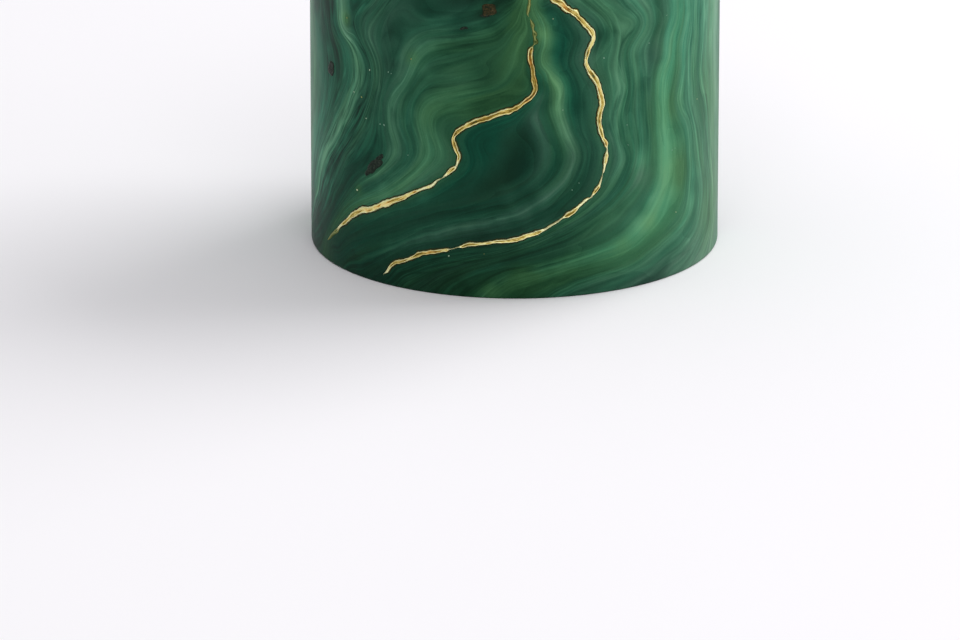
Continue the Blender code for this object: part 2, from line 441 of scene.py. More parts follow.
FRONT_STRANDS = (
    Strand(0, (0.22, 0.45, 0.65, 0.4), (0, 0), (1, 0.8), 0.7, (
        (-74, 118), (-72, 95), (-69, 78), (-72, 60), (-78, 40), (-84, 22), (-92, 4))),
    Strand(1.3, (0.27, 0.2, 0.44, 0.6, 0.3), (0, 0), (1, 0.8, 1), 0.95, (
        (-64, 120), (-63, 104), (-62.5, 97), (-61, 92), (-58.5, 89), (-56.5, 85), (-56, 80),
        (-56.5, 75), (-58.5, 70), (-61, 64), (-64, 57), (-67.5, 50), (-72, 42), (-76, 34),
        (-80, 24), (-85, 13))),
    Strand(1.6, (0.38, 0.46, 0.4, 0.55, 0.38), (0, 0), (0.8, 0.4, 1), 1.05, (
        (-60, 112), (-60, 100), (-58.5, 94.5), (-56, 91.5), (-54, 88), (-53, 84), (-52.8, 80),
        (-53.5, 75), (-55.5, 70), (-57.5, 65.5), (-60, 61), (-63, 55), (-66, 50), (-69, 45),
        (-72, 39), (-75, 32), (-78, 25), (-82, 16))),
    Strand(2.3, (0.7, 0.65, 0.77, 0.84, 0.46), (0.2, 0.2, 0), (0, -0.1, 0.9), 1.3, (
        (-58.5, 112), (-58.5, 106), (-58, 100), (-57, 95.5), (-55, 93), (-52, 91.3), (-50, 89),
        (-48.7, 85), (-48.3, 81), (-48.6, 77), (-50, 73), (-51.5, 70), (-52.8, 66), (-54, 62.5),
        (-55.5, 59), (-58, 53), (-60.5, 48.5), (-63, 45), (-65.3, 41.5), (-67.5, 38),
        (-69.2, 34), (-71, 29), (-72.5, 25), (-74.5, 21.3), (-77, 18), (-80, 14), (-84, 9))),
    Strand(2.75, (0.36, 0.27, 0.16, 0.22, 0.12), (0, 0), (0.8, 0.3, 1, 1.6), 1.25, (
        (-52, 112), (-52, 104), (-51, 98), (-48.5, 94), (-46, 90), (-44.5, 86), (-44, 81),
        (-44.8, 76), (-46.5, 70), (-49, 65), (-51, 61), (-54, 56), (-57, 50.5), (-60, 45.5),
        (-63, 41.5), (-66, 36), (-69, 30), (-71, 25), (-74, 20.3), (-77.5, 14.5), (-81, 10),
        (-84, 5))),
    Strand(3.4, (0.37, 0.43, 0.36, 0.34, 0.12), (0, 0), (-0.2, -0.2, 0.5, 1.6), 0.85, (
        (-38, 115), (-41, 109), (-44.5, 104), (-46.3, 100), (-46, 95), (-44, 91), (-42.3, 87),
        (-41.8, 82), (-42.3, 77), (-43.5, 71), (-45, 66), (-47, 60), (-49.5, 55), (-51.5, 51.5),
        (-54, 48), (-56, 45), (-58, 41), (-60, 37.5), (-61.5, 34), (-63.5, 29.5), (-65.5, 25),
        (-67.5, 21), (-70, 17.5), (-73, 13.5), (-76.5, 10.5), (-80, 7.5), (-84, 3))),
    Strand(3.95, (0.28, 0.36, 0.29, 0.16, 0), (0, 0), (-0.3, -0.2, 0.7, 1.7), 0.5, (
        (-30, 119), (-36, 111), (-40, 104), (-41.5, 98), (-41, 92), (-39.8, 87), (-39.5, 82),
        (-40, 76), (-41.3, 70), (-42.3, 63), (-43.5, 57), (-46, 52), (-49, 47.5), (-52, 44),
        (-55, 39), (-58, 33), (-61, 28), (-64, 22), (-67.5, 17), (-71, 12), (-75, 8), (-80, 3))),
    Strand(4.35, (0.05, 0.34, 0.24, 0.13, 0.06), (0.5, -0.3, 0, 0), (0.2, 0, 0.5, 1.5), 0.55, (
        (2, 126), (-4, 114), (-14, 107.5), (-24, 104), (-31, 99), (-34, 93), (-35, 88),
        (-36.5, 83), (-38.3, 78), (-39.8, 73), (-40.3, 67), (-40, 61), (-39.3, 55), (-40.5, 50),
        (-43, 46.5), (-46.5, 42), (-50, 38.5), (-54, 33), (-58, 27), (-62, 20.5), (-66, 14.5),
        (-70, 9), (-74, 4))),
    Strand(4.8, (0.32, 0.26, 0.6, 0.54, 0.58, 0.36, 0.22), (0.7, 0.2, 0.2, 0.8),
           (0.6, -0.2, -0.2, 1), 0.6, (
        (2.5, 124), (0.5, 114), (-2.5, 108), (-6, 104.5), (-10, 102.8), (-14, 101.7),
        (-18, 100.8), (-22, 99.5), (-25, 97.8), (-27.5, 95), (-29.3, 91), (-30.4, 87),
        (-31.5, 83.5), (-33, 80.3), (-35, 77), (-36.5, 74), (-37.3, 70), (-37.6, 66),
        (-37.2, 62), (-36.1, 58), (-35.4, 54), (-36, 51), (-38, 47.5), (-40, 45), (-42.5, 42.2),
        (-45.5, 39.8), (-48.5, 36.5), (-52, 32), (-56, 26.5), (-60, 20), (-64.5, 13), (-69, 6.5))),
    Strand(5.55, (0.4, 0.26, 0.38, 0.26, 0.27), (0.9, 0.3, -0.1, 0.7), (0.3, 0.1, 0.1, 0.9),
           0.38, (
        (3, 120), (1.3, 110), (-3, 100), (-9, 96), (-16, 93), (-22, 90), (-26, 86), (-28.5, 81),
        (-31, 76), (-32.3, 70), (-32.3, 64), (-31, 59), (-30.3, 54), (-31.5, 50), (-34.5, 46),
        (-38, 42), (-42, 38), (-47, 34), (-52, 29), (-57, 23), (-62, 16), (-66, 9.5))),
    Strand(6.4, (0.49, 0.36, 0.54, 0.58, 0.78, 0.5, 0.35), (1, 0.6, 0.25, 1), (0.4, 0.2, 0, 0.6),
           0.5, (
        (3.6, 117), (2.7, 110), (1.2, 103), (-0.2, 96), (-1, 90), (-2, 86), (-5, 83.5),
        (-10, 81.5), (-15, 79.8), (-20, 77.5), (-23.5, 75.3), (-25.5, 72), (-26.2, 68),
        (-25.8, 64), (-25, 60), (-24.5, 56), (-25, 52.5), (-27.5, 48.5), (-30.5, 44.5),
        (-34, 40.3), (-38, 36.5), (-43, 33), (-48, 29.7), (-53, 26), (-58, 20.5), (-62, 15),
        (-65.5, 9.5))),
    Strand(6.9, (0.48, 0.22, 0.4, 0.5, 0.56), (1, 0.6, 0.3), (0.5, 1, 0.1, -0.2), 0.42, (
        (3.6, 104), (2.8, 98), (2.6, 92), (1.5, 86), (-2, 80.5), (-8, 77.5), (-14, 75),
        (-19.5, 72.3), (-22.3, 69), (-22.6, 65), (-21.6, 61), (-20.4, 57), (-20.3, 54),
        (-22, 50.5), (-25, 46.7), (-28.5, 43))),
    Strand(8.2, (0.38, 0.17, 0.24, 0.36, 0.09), (0, 0), (1.2, 1, 0, 0.8), 0.2, (
        (7, 87), (7, 81), (4.5, 76.5), (0, 72.5), (-6, 69), (-11.5, 65), (-13, 60.5), (-12, 55),
        (-13, 50), (-17, 45.5), (-22, 41), (-27, 37), (-33, 33), (-39, 29), (-45, 25),
        (-50, 22), (-55, 17), (-60, 10))),
    Strand(8.8, (0.3, 0.1, 0.08, 0.14, 0.23, 0.17, 0.1), (0, 0), (0, 0.2, 0, 1), 0.1, (
        (6, 76), (4, 73.5), (2, 70.5), (-1, 67), (-3, 62.5), (-3, 57), (-4, 52), (-7, 47),
        (-12, 42.5), (-18, 38.5), (-24, 35), (-31, 31), (-37, 27.5), (-43, 23.5), (-49, 19),
        (-54, 14.5), (-59, 8))),
    Strand(9.1, (0.34, 0.16, 0.1, 0.07, 0.1), (0, 0), (-0.4, 0, 0.2), 0.08, (
        (4.6, 74.5), (3.6, 72), (3.8, 68.5), (4.8, 65), (5.8, 61), (6, 57), (5.4, 52.5),
        (3.6, 48), (0, 44.3), (-5, 41.2), (-11, 38.3), (-18, 35.8))),
    Strand(9.4, (0.54, 0.34, 0.12, 0.15, 0.12), (0, 0), (-0.9, -0.6, 0, 0, 0.8), 0.1, (
        (7.5, 80), (6, 76.5), (6, 72), (6.7, 68.5), (7.7, 65), (8.6, 61), (9, 57), (8.5, 52.5),
        (7, 48), (4, 44.5), (0, 41.3), (-6, 38.3), (-12, 36), (-18, 34), (-24, 31.5), (-30, 28),
        (-36, 24.5), (-42, 21), (-48, 16.5), (-54, 11), (-59, 5))),
    Strand(10.1, (0.42, 0.24, 0.03, 0.2, 0.09), (0.6, 0.3, -0.2, 0.2), (0.6, 0.8, -0.1, 0.9),
           0.2, (
        (6.3, 101), (6.2, 97), (6, 93.5), (6.5, 89.5), (8, 85.5), (9.3, 81.5), (9.2, 77),
        (9.3, 72), (10.5, 67), (12, 62), (12.8, 57), (12.3, 52.5), (11, 48.5), (8.5, 45),
        (5, 41.5), (1, 38.7), (-4, 36), (-10, 33.5), (-16, 31.3), (-22, 28.5), (-28, 25.5),
        (-34, 21), (-40, 17), (-46, 12.5), (-52, 8), (-57, 3))),
    Strand(10.6, (0.7, 0.62, 1, 0.42, 0.5, 0.42, 0.02), (0.9, 0.9, 0.2, 0.1, 0.2),
           (0.6, 0, -1, -0.9, 0.6), 0.3, (
        (5, 116.5), (5.5, 113.5), (6.3, 111), (7.2, 108), (8, 105), (8.4, 102), (8.3, 99),
        (7.6, 96), (7.4, 93.5), (8, 91), (9.5, 88), (11, 85.5), (12.3, 83), (12.5, 80),
        (12, 77), (12, 74), (12.5, 71), (13.3, 68), (14, 65), (15, 62), (16, 59), (16.7, 56),
        (16.5, 53), (15.5, 50), (14.5, 47), (13, 44.5), (11, 42), (9, 39.5), (7, 38), (4, 35.5),
        (1, 33), (-3, 31.5), (-8, 29.3), (-13, 28), (-18, 26), (-22, 23.5), (-27, 21.5),
        (-32, 18.5), (-36, 15.5), (-41, 12), (-46, 9), (-50, 6), (-54, 3.5))),
    Strand(11, (0.37, 0.4, 0.1, 0.24, 0.04), (0, 0.1), (0.6, 1.3, -0.2, 0.5, -0.8, -0.3, 0.7),
           0.35, (
        (9, 113), (10.5, 107), (11, 101), (10.5, 96), (11, 92), (12.8, 88), (14.2, 84),
        (14.8, 80), (14.8, 76), (15, 72), (16, 68), (17, 63.5), (18.2, 59.5), (18.8, 55.5),
        (18.3, 51.5), (17, 47.3), (15.3, 43.7), (13, 40.5), (10, 37.2), (6, 34), (1, 31),
        (-5, 29), (-11, 27), (-17, 24.8), (-23, 22), (-29, 18.5), (-34, 14.5), (-38, 11),
        (-43, 7), (-48, 3))),
    Strand(11.45, (0.28, 0.31, 0.34, 0.16, 0.08, 0.16, 0.05), (0, 0), (0, -0.3, -0.3, -0.1),
           0.28, (
        (13.5, 112), (15, 107.5), (17, 103.5), (17, 99), (16, 95), (15.8, 91.5), (17.5, 87),
        (19.3, 82), (20.2, 77), (20.3, 72), (20, 67), (21, 62.5), (22, 58.5), (22.2, 54),
        (21.5, 49.5), (19.8, 44.5), (17, 40.5), (14, 37), (10, 33.5), (5, 30), (-1, 27.3),
        (-8, 25.5), (-15, 23.3), (-22, 20.2), (-28, 17), (-33, 13.5), (-38, 9.5), (-43, 4.5))),
    Strand(12.2, (0.52, 0.52, 0.43, 0.2, 0.02), (0, 0.4, 0), (-0.1, 0.1, -0.1, 0.3), 0.7, (
        (16, 118), (20, 112.5), (23.5, 108), (25.3, 104), (25.7, 100), (24.5, 96), (23.5, 92.5),
        (24, 88.5), (25.7, 84), (26.5, 79), (26.6, 74), (26.2, 69.5), (26, 65), (27, 61),
        (27.8, 57), (27.6, 52.5), (27, 48), (26, 44.5), (24, 41), (21.5, 38), (18, 34.5),
        (13, 30.5), (8, 27), (2, 23), (-5, 20), (-12, 18.5), (-19, 16.5), (-25, 13.5),
        (-30, 10.5), (-34, 7.5), (-37, 3))),
    Strand(12.4, (0.5, 0.53, 0.52, 0.42, 0.58), (0, 0), (-0.2, 0), 0.75, (
        (19, 117), (23, 112), (26.5, 107), (28.2, 102.5), (28.3, 98), (27.2, 94), (26.7, 90),
        (27, 86), (27.7, 82), (28.3, 78), (28.2, 74), (27.6, 70), (27.6, 66), (28.3, 61.5),
        (29.3, 57), (29.6, 53), (29, 49), (27.7, 45.5))),
    Strand(12.6, (0.48, 0.76, 0.54, 0.2, 0.05), (0.1, 0.4), (0, 0), 0.75, (
        (22, 117), (25.5, 112), (28.3, 109), (30.3, 105.5), (31.5, 101.5), (31.1, 98),
        (30.3, 94), (30, 90), (30.4, 86), (31, 82.5), (31.4, 79.5), (30.7, 76), (29.6, 72),
        (29, 68), (29.3, 63), (30, 58), (31, 54.5), (31.6, 52), (31, 49.5), (29.8, 46.5),
        (28.5, 44), (27, 41), (25, 38), (22, 35), (18, 31.5), (13, 28), (7, 24), (1, 20.5),
        (-6, 17.5), (-13, 15.5), (-20, 12.5), (-26, 9), (-31, 5.5), (-34, 2))),
    Strand(12.95, (0.51, 0.37, 0.35, 0.19, 0.12), (0, 0.3), (0.2, 0.2, -0.2), 0.6, (
        (31, 114), (34, 109.5), (36.6, 105.5), (36.7, 102.5), (35.3, 99.5), (33.5, 97),
        (32, 94), (32.1, 90), (32.6, 86), (33, 82), (33.2, 78.5), (32.6, 75), (31.8, 71),
        (31.6, 67), (32, 62), (33, 57), (34, 53), (34, 50), (33, 46.5), (31.5, 42.5), (30, 40),
        (27, 36.5), (23, 33), (18, 29.5), (12, 25.5), (5, 21.5), (-2, 18), (-9, 15.2),
        (-16, 12.5), (-22, 9.5), (-27, 5.5), (-31, 2))),
    Strand(13.5, (0.82, 0.69, 0.52, 0.1, 0.06), (-0.1, 0.5), (0.1, 0.1, -0.5), 0.42, (
        (34, 114), (37, 109), (39, 105), (39.3, 102), (38.3, 99.7), (36.5, 97), (35, 94),
        (34.6, 91), (35.1, 87), (35.6, 83), (35.8, 78), (36, 72), (36.3, 66), (36.8, 60),
        (37.1, 54), (36.6, 50), (35.6, 46), (34.2, 42), (32, 39), (29, 35.5), (25, 32),
        (20, 28), (14, 24), (7, 20.5), (0, 17.5), (-7, 14.5), (-13, 11.5), (-18, 8), (-22, 4.5),
        (-25, 1))),
    Strand(14, (0.4, 0.47, 0.5, 0.16, 0.18), (0, 0.6), (0, 0.3, 0.1, 0.2), 0.35, (
        (40, 115), (42, 110), (42.6, 104), (41.8, 99), (40, 94.5), (39.3, 89), (39.5, 83),
        (39.7, 77), (39.8, 71), (40, 65), (40.5, 58), (40.5, 51), (40, 45), (38, 39), (35, 34),
        (31, 29), (26, 25), (20, 21.5), (13, 18.8), (6, 16.5), (-1, 14), (-8, 11), (-13, 7.5),
        (-17, 4), (-19, 1))),
    Strand(14.25, (0.6, 0.65, 0.53, 0.12, 0.1), (-0.1, 0.7), (0.1, 0.4, 0.2, 0.4), 0.4, (
        (46, 113), (47, 105), (46, 99.5), (44.8, 94.5), (44.3, 89.5), (43, 85), (42, 80),
        (41.8, 74), (42, 68), (42.3, 61), (42.7, 54), (42.7, 47), (42, 41), (40, 35.5),
        (37.5, 31), (34, 27), (30, 23.5), (25, 20.5), (19, 18.3), (13, 16.5), (6, 14),
        (0, 12.3), (-5, 10), (-10, 6), (-14, 2))),
    Strand(14.65, (0.86, 0.94, 1.03, 0.66, 0.33), (0.1, 0.5, 0.6), (0.6, 1, 0.4, 0.1), 0.5, (
        (49, 114), (50, 109), (50.5, 104), (49.5, 100), (48, 96), (47.5, 92), (47.3, 88),
        (46.3, 85), (45.1, 82), (44.5, 78), (44.3, 74), (44.5, 70), (45, 66), (45, 62),
        (45.5, 58), (46, 52), (46, 47), (46, 42), (45, 38), (43.5, 34), (41.5, 31),
        (39.3, 26.5), (36, 23), (32, 19.7), (28, 18), (24, 17), (20, 15.8), (16, 14.5),
        (12, 13), (7, 11.3), (2, 10), (-2, 8.7), (-6, 5.5), (-9, 1.5))),
    Strand(15.2, (0.67, 0.71, 0.77, 0.42, 0.24), (0.3, 0.5, 0.8), (0.6, 1, 0.9, 0.9), 0.4, (
        (53, 112), (53, 103), (52.3, 98), (51, 93), (50.5, 88), (49.8, 83), (48.7, 78),
        (48, 73), (48, 67), (49.3, 61), (50.5, 55), (51, 48), (51, 41), (50, 34), (48, 28),
        (45, 23), (40.5, 19.5), (36, 16.2), (30, 14), (24, 12.5), (18, 11.5), (12, 9.7),
        (6, 7.5), (1, 5.2), (-3, 2))),
    Strand(15.5, (0.82, 0.63, 0.62, 0.48, 0.19), (0.2, 0.6, 0.7), (0.6, 0.5, 0.2), 0.42, (
        (54.8, 110), (54.5, 101), (53.5, 96), (52.3, 91), (52.2, 86), (51.8, 81), (50.9, 76),
        (50, 71), (50.3, 66), (51.8, 61), (54, 56), (55.3, 50), (55.7, 44), (55.9, 37),
        (55.3, 31), (53.5, 26), (50.5, 22), (46.5, 18.7), (42, 16), (37, 13.2), (31, 11),
        (25, 9.7), (19, 8.3), (14, 6.5), (9, 3.8), (4, 1))),
    Strand(15.95, (0.9, 0.79, 0.7, 0.52, 0.28), (0.1, 0.1, 0.4), (0.4, 0.3, 0, 0.1), 0.6, (
        (56, 112), (56, 107), (56, 100), (55, 95), (54, 91), (54, 86), (54, 81), (53, 76),
        (52, 72), (51.6, 69), (52.6, 66), (54, 62.7), (55.5, 60), (56.8, 56), (57.5, 51),
        (57.8, 47), (58.5, 43), (58.5, 38), (58, 33), (57.5, 28), (56.5, 24), (54, 20.5),
        (50, 18), (46, 15.5), (42, 13.5), (37, 10.3), (31, 8.3), (24, 7), (18, 5.6), (14, 3.2),
        (10.5, 1))),
    Strand(16.2, (0.74, 0.63, 0.72, 0.6, 0.3), (0, 0.1), (0.5, 0.3, -0.1, -0.2), 0.58, (
        (57.8, 110), (57.5, 98), (56, 92), (55.4, 86), (55.3, 80), (55, 74), (54.8, 69),
        (56, 64), (57.5, 60), (59, 55), (59.7, 50), (60.3, 45), (61, 40), (61.3, 34), (61, 28),
        (60, 22), (57, 17), (52, 13.5), (46, 11), (40, 8), (33, 5.8), (27, 4.2), (20, 2))),
    Strand(16.45, (0.73, 0.67, 0.66, 0.58, 0.33), (0.1, 0), (0.5, 0.2, -0.3, -0.8), 0.52, (
        (59, 110), (58.7, 98), (57.7, 92), (57, 86), (56.8, 79), (56.9, 72), (57.3, 67),
        (58.5, 62), (60, 57.5), (61, 53), (61.8, 48), (62.8, 43), (64, 38), (65, 33),
        (65.5, 28), (64.5, 21), (62, 15), (57, 11), (51, 8), (44, 5), (37, 2.5))),
    Strand(16.9, (0.78, 0.74, 0.6, 0.68, 0.53), (0.1, 0), (0.4, 0.1, -0.3, -0.7), 0.52, (
        (61, 109), (60.3, 101), (60.4, 96), (60.8, 91), (60.4, 86), (60, 81), (60.1, 76),
        (60.5, 72), (60.8, 67), (62, 62), (63.5, 57), (65, 51), (66, 45), (67, 39), (68, 33),
        (68.5, 27), (68, 20), (66, 13), (62, 8), (57, 4.5), (51, 2))),
    Strand(17.3, (0.84, 0.6, 0.46, 0.74, 0.7), (0, 0.3, 0), (0.4, 0.4, -0.2, -0.8), 0.68, (
        (63, 108), (63, 99), (63, 93), (62.8, 87), (62.5, 81), (62.3, 76), (62.7, 71),
        (64, 66.5), (65.8, 62), (67, 57), (68, 51), (68.7, 45), (69.7, 39), (71, 33),
        (71.8, 27), (71.5, 20), (70, 13), (66.5, 7), (62, 3))),
    Strand(17.6, (0.78, 0.78, 0.68, 0.8, 0.72), (0, 0.3, 0), (0.3, 0.2, -0.2, -0.9), 0.78, (
        (67, 107), (67, 99), (66.5, 95), (66.2, 92), (65.5, 87), (64.8, 82), (64.3, 77),
        (64.8, 73), (65.3, 70), (66.5, 67), (68, 63), (69, 58), (69.5, 53), (70, 48),
        (70.5, 43), (71.5, 38), (73, 34), (74.5, 28.5), (75.5, 22), (74.5, 14), (71.5, 7),
        (68, 3))),
    Strand(18.1, (0.84, 0.74, 0.66, 0.8, 0.84), (0.2, 0.5, 0.1), (0, -0.2, -0.4, -0.8), 0.58, (
        (71, 106), (70.5, 95), (69.5, 86), (69.5, 78), (70.5, 70), (72, 62), (73, 54),
        (73.8, 46), (74.5, 40), (76, 33), (77.3, 25), (77, 15), (74, 6))),
    Strand(18.7, (1, 1.02, 0.88, 0.8, 0.76), (0, 0.2, 0), (-0.1, -0.4, -0.7), 0.45, (
        (76, 105), (75.5, 92), (75, 84), (75.3, 76), (76, 68), (76.5, 58), (77, 50), (77.5, 42),
        (79, 34), (80.5, 25), (80, 15), (77, 5))),
)

# Above the front strands: each strand's layer, its tones and its bearings at the rising climbs.
RISING_CLIMBS = (126, 138, 150, 162, 174, 187)
RISING_LEAF = (0.1, 0.2)
RISING_TEAL = (0.2, 0.2)
RISING_COMB = 0.6
RISING_STRANDS = (
    (0.0, (0.3, 0.5, 0.35), (-77, -81, -86, -91, -90, -86)),
    (1.3, (0.25, 0.3, 0.5), (-66, -69, -75, -80, -79, -74)),
    (1.6, (0.42, 0.5, 0.4), (-61, -64, -69, -74, -73, -68)),
    (2.3, (0.6, 0.7, 0.5), (-57, -59, -64, -69, -68, -63)),
    (2.75, (0.3, 0.2, 0.3), (-50, -52, -58, -63, -62, -57)),
    (3.4, (0.4, 0.45, 0.6), (-37, -42, -50, -55, -54, -48)),
    (3.95, (0.3, 0.25, 0.35), (-30, -34, -42, -47, -45, -39)),
    (4.35, (0.2, 0.35, 0.2), (-3, -20, -35, -40, -38, -31)),
    (4.8, (0.35, 0.6, 0.5), (0, -13, -28, -33, -31, -24)),
    (5.55, (0.35, 0.25, 0.4), (1.5, -8, -21, -26, -24, -16)),
    (6.4, (0.5, 0.6, 0.3), (3.5, -3, -14, -18, -16, -8)),
    (9.7, (0.3, 0.2, 0.3), (7.3, 3.9, -1.5, -1.8, 2.6, 12)),
    (12.2, (0.45, 0.6, 0.4), (13, 13, 10, 11, 17, 26)),
    (12.6, (0.6, 0.5, 0.7), (20, 20.5, 18.5, 20, 26, 34)),
    (12.95, (0.5, 0.35, 0.3), (27, 26, 23.5, 25, 31, 38)),
    (13.5, (0.7, 0.65, 0.45), (32, 31, 29, 31, 37, 44)),
    (14.0, (0.45, 0.3, 0.4), (37.5, 36.5, 35, 37, 43, 49)),
    (14.65, (0.8, 0.75, 0.9), (47, 44.5, 43, 45, 50.5, 56.5)),
    (15.2, (0.65, 0.5, 0.4), (51, 49, 47.5, 50, 55.5, 61)),
    (15.95, (0.85, 0.8, 0.65), (56.3, 55, 54.5, 57, 61.5, 67)),
    (16.2, (0.7, 0.5, 0.55), (58.5, 57.5, 57.5, 60, 64.5, 69.5)),
    (16.9, (0.76, 0.7, 0.6), (63, 63, 64, 67, 70.5, 75)),
    (17.3, (0.7, 0.45, 0.4), (66, 66.5, 68, 71, 74, 78)),
    (17.6, (0.8, 0.75, 0.7), (69, 70, 72, 75, 77.5, 81)),
    (18.1, (0.7, 0.5, 0.5), (73, 74.5, 77, 80, 82, 85)),
    (18.7, (0.8, 0.7, 0.6), (77.5, 80, 83, 85.5, 87, 90)),
)

# Rows of bearing, climb, reach, tone, leaf, teal and comb; the last ones may be left out.
BLOOMS = tuple(Bloom(*row) for row in (
    (24.7, 101, 4, -0.3, 0, 0.3), (-4, 92, 12, 0, 0, 0, -0.35), (-30, 22, 30, 0, 0, 0, -0.12),
    (1.8, 58, 5, 0.11), (-2, 35, 3, -0.14), (-9, 18.5, 5, -0.1), (-2, 12, 3.5, -0.09),
    (11.3, 78, 4.5, -0.21), (12.4, 70.5, 3, -0.1), (16.5, 79, 3, 0.08),
    (-29.5, 91.5, 3, 0.08, 0.5), (37.8, 43, 4.5, 0.09, 0, -0.8), (41, 33.5, 3, 0.1),
    (48.5, 49, 4, -0.08, 0, 0.8), (42.5, 90, 6, 0.03, -0.1, -0.5), (35, 24, 23, 0, 0, 0, -0.38),
    (4, 16, 18, 0, 0, 0, -0.12), (14.5, 62.9, 2.5, 0.08), (5, 38.4, 4, -0.14),
    (-1, 19.5, 4, -0.09), (22.9, 96, 2.5, -0.12), (7.2, 103.5, 2.5, 0.16, 0.3),
    (8.6, 101, 3, 0.12), (1.5, 84, 5, 0, 0, 0.5), (-10.4, 88.6, 5, -0.02, 0, 0.5),
    (49.8, 57, 3.5, -0.11, 0, 0.4), (-55.5, 66.4, 2.6, -0.1), (-25.8, 37.7, 3, 0.1),
    (-26.6, 79.8, 3, 0.09), (-25.8, 13.6, 3.5, 0.1), (41.8, 94.7, 3, 0.09), (31.4, 32.3, 3, -0.09),
    (-55.7, 106, 3, -0.09), (-81, 21, 6, -0.08, 0, 0.3), (-64, 84.5, 3, 0.2), (-9, 73.6, 4, -0.1),
    (1.5, 111, 5, 0.03, 0.5), (2.5, 117, 3, 0.14, 0.2), (7.9, 115, 3.5, -0.32),
    # The row at -7, 109 darkens the paste under the leaf fleck there: painted shadow.
    (11, 98, 4, 0, 0, 0.3), (-7, 109, 3, -0.12), (-15, 105.5, 3.5, -0.1),
    (-25, 110, 5, -0.05, 0, 0.3), (-42.4, 51, 3.5, 0.06), (-36, 87.5, 3.5, -0.06, 0, -0.4),
    (-35, 95.5, 3.5, 0.1, 0, -0.4), (-27.4, 96, 2.5, 0.12), (-35.4, 67.4, 2.5, -0.12),
    (-4.5, 104.5, 3, -0.1), (-25, 86.5, 3, 0.14), (-8, 87, 6, -0.22), (-47.5, 67.5, 2.6, -0.1),
    (-56.6, 62, 3, -0.22), (-75, 98, 4.5, -0.25), (-62, 103, 3.5, -0.18),
    (-54, 100, 2.7, 0.08, 0.9), (-49, 34.5, 2, 0.08, 0.8), (-18, 5, 10, -0.05, 0.1),
    (49, 68, 8, -0.05, 0.35), (53, 42, 9, -0.05, 0.4), (72, 16, 12, -0.04, 0.5), (2, 8, 6, 0, 0.5),
    (-6.5, 3, 3, 0.1, 0.4), (35.5, 25.5, 4.5, 0.2), (51, 33, 4, 0.12), (37.6, 49.5, 4, 0.22),
    (36.5, 91, 3, -0.12), (38, 79, 3, -0.12), (33.4, 104, 4, 0.27), (45, 87, 2.5, -0.1),
    (26.5, 65, 2.5, -0.1), (60.5, 26, 4, 0.13), (40.4, 24.4, 4.5, 0.06, 0.35),
    (31, 18.6, 4, 0.06, 0.25), (1, 85, 2.5, -0.12), (-34, 53, 3, 0.09), (-29, 70, 3, 0.09),
    (-42, 53, 3, 0.08), (-23.5, 97, 3, 0.08), (2, 35, 3, -0.09),
))

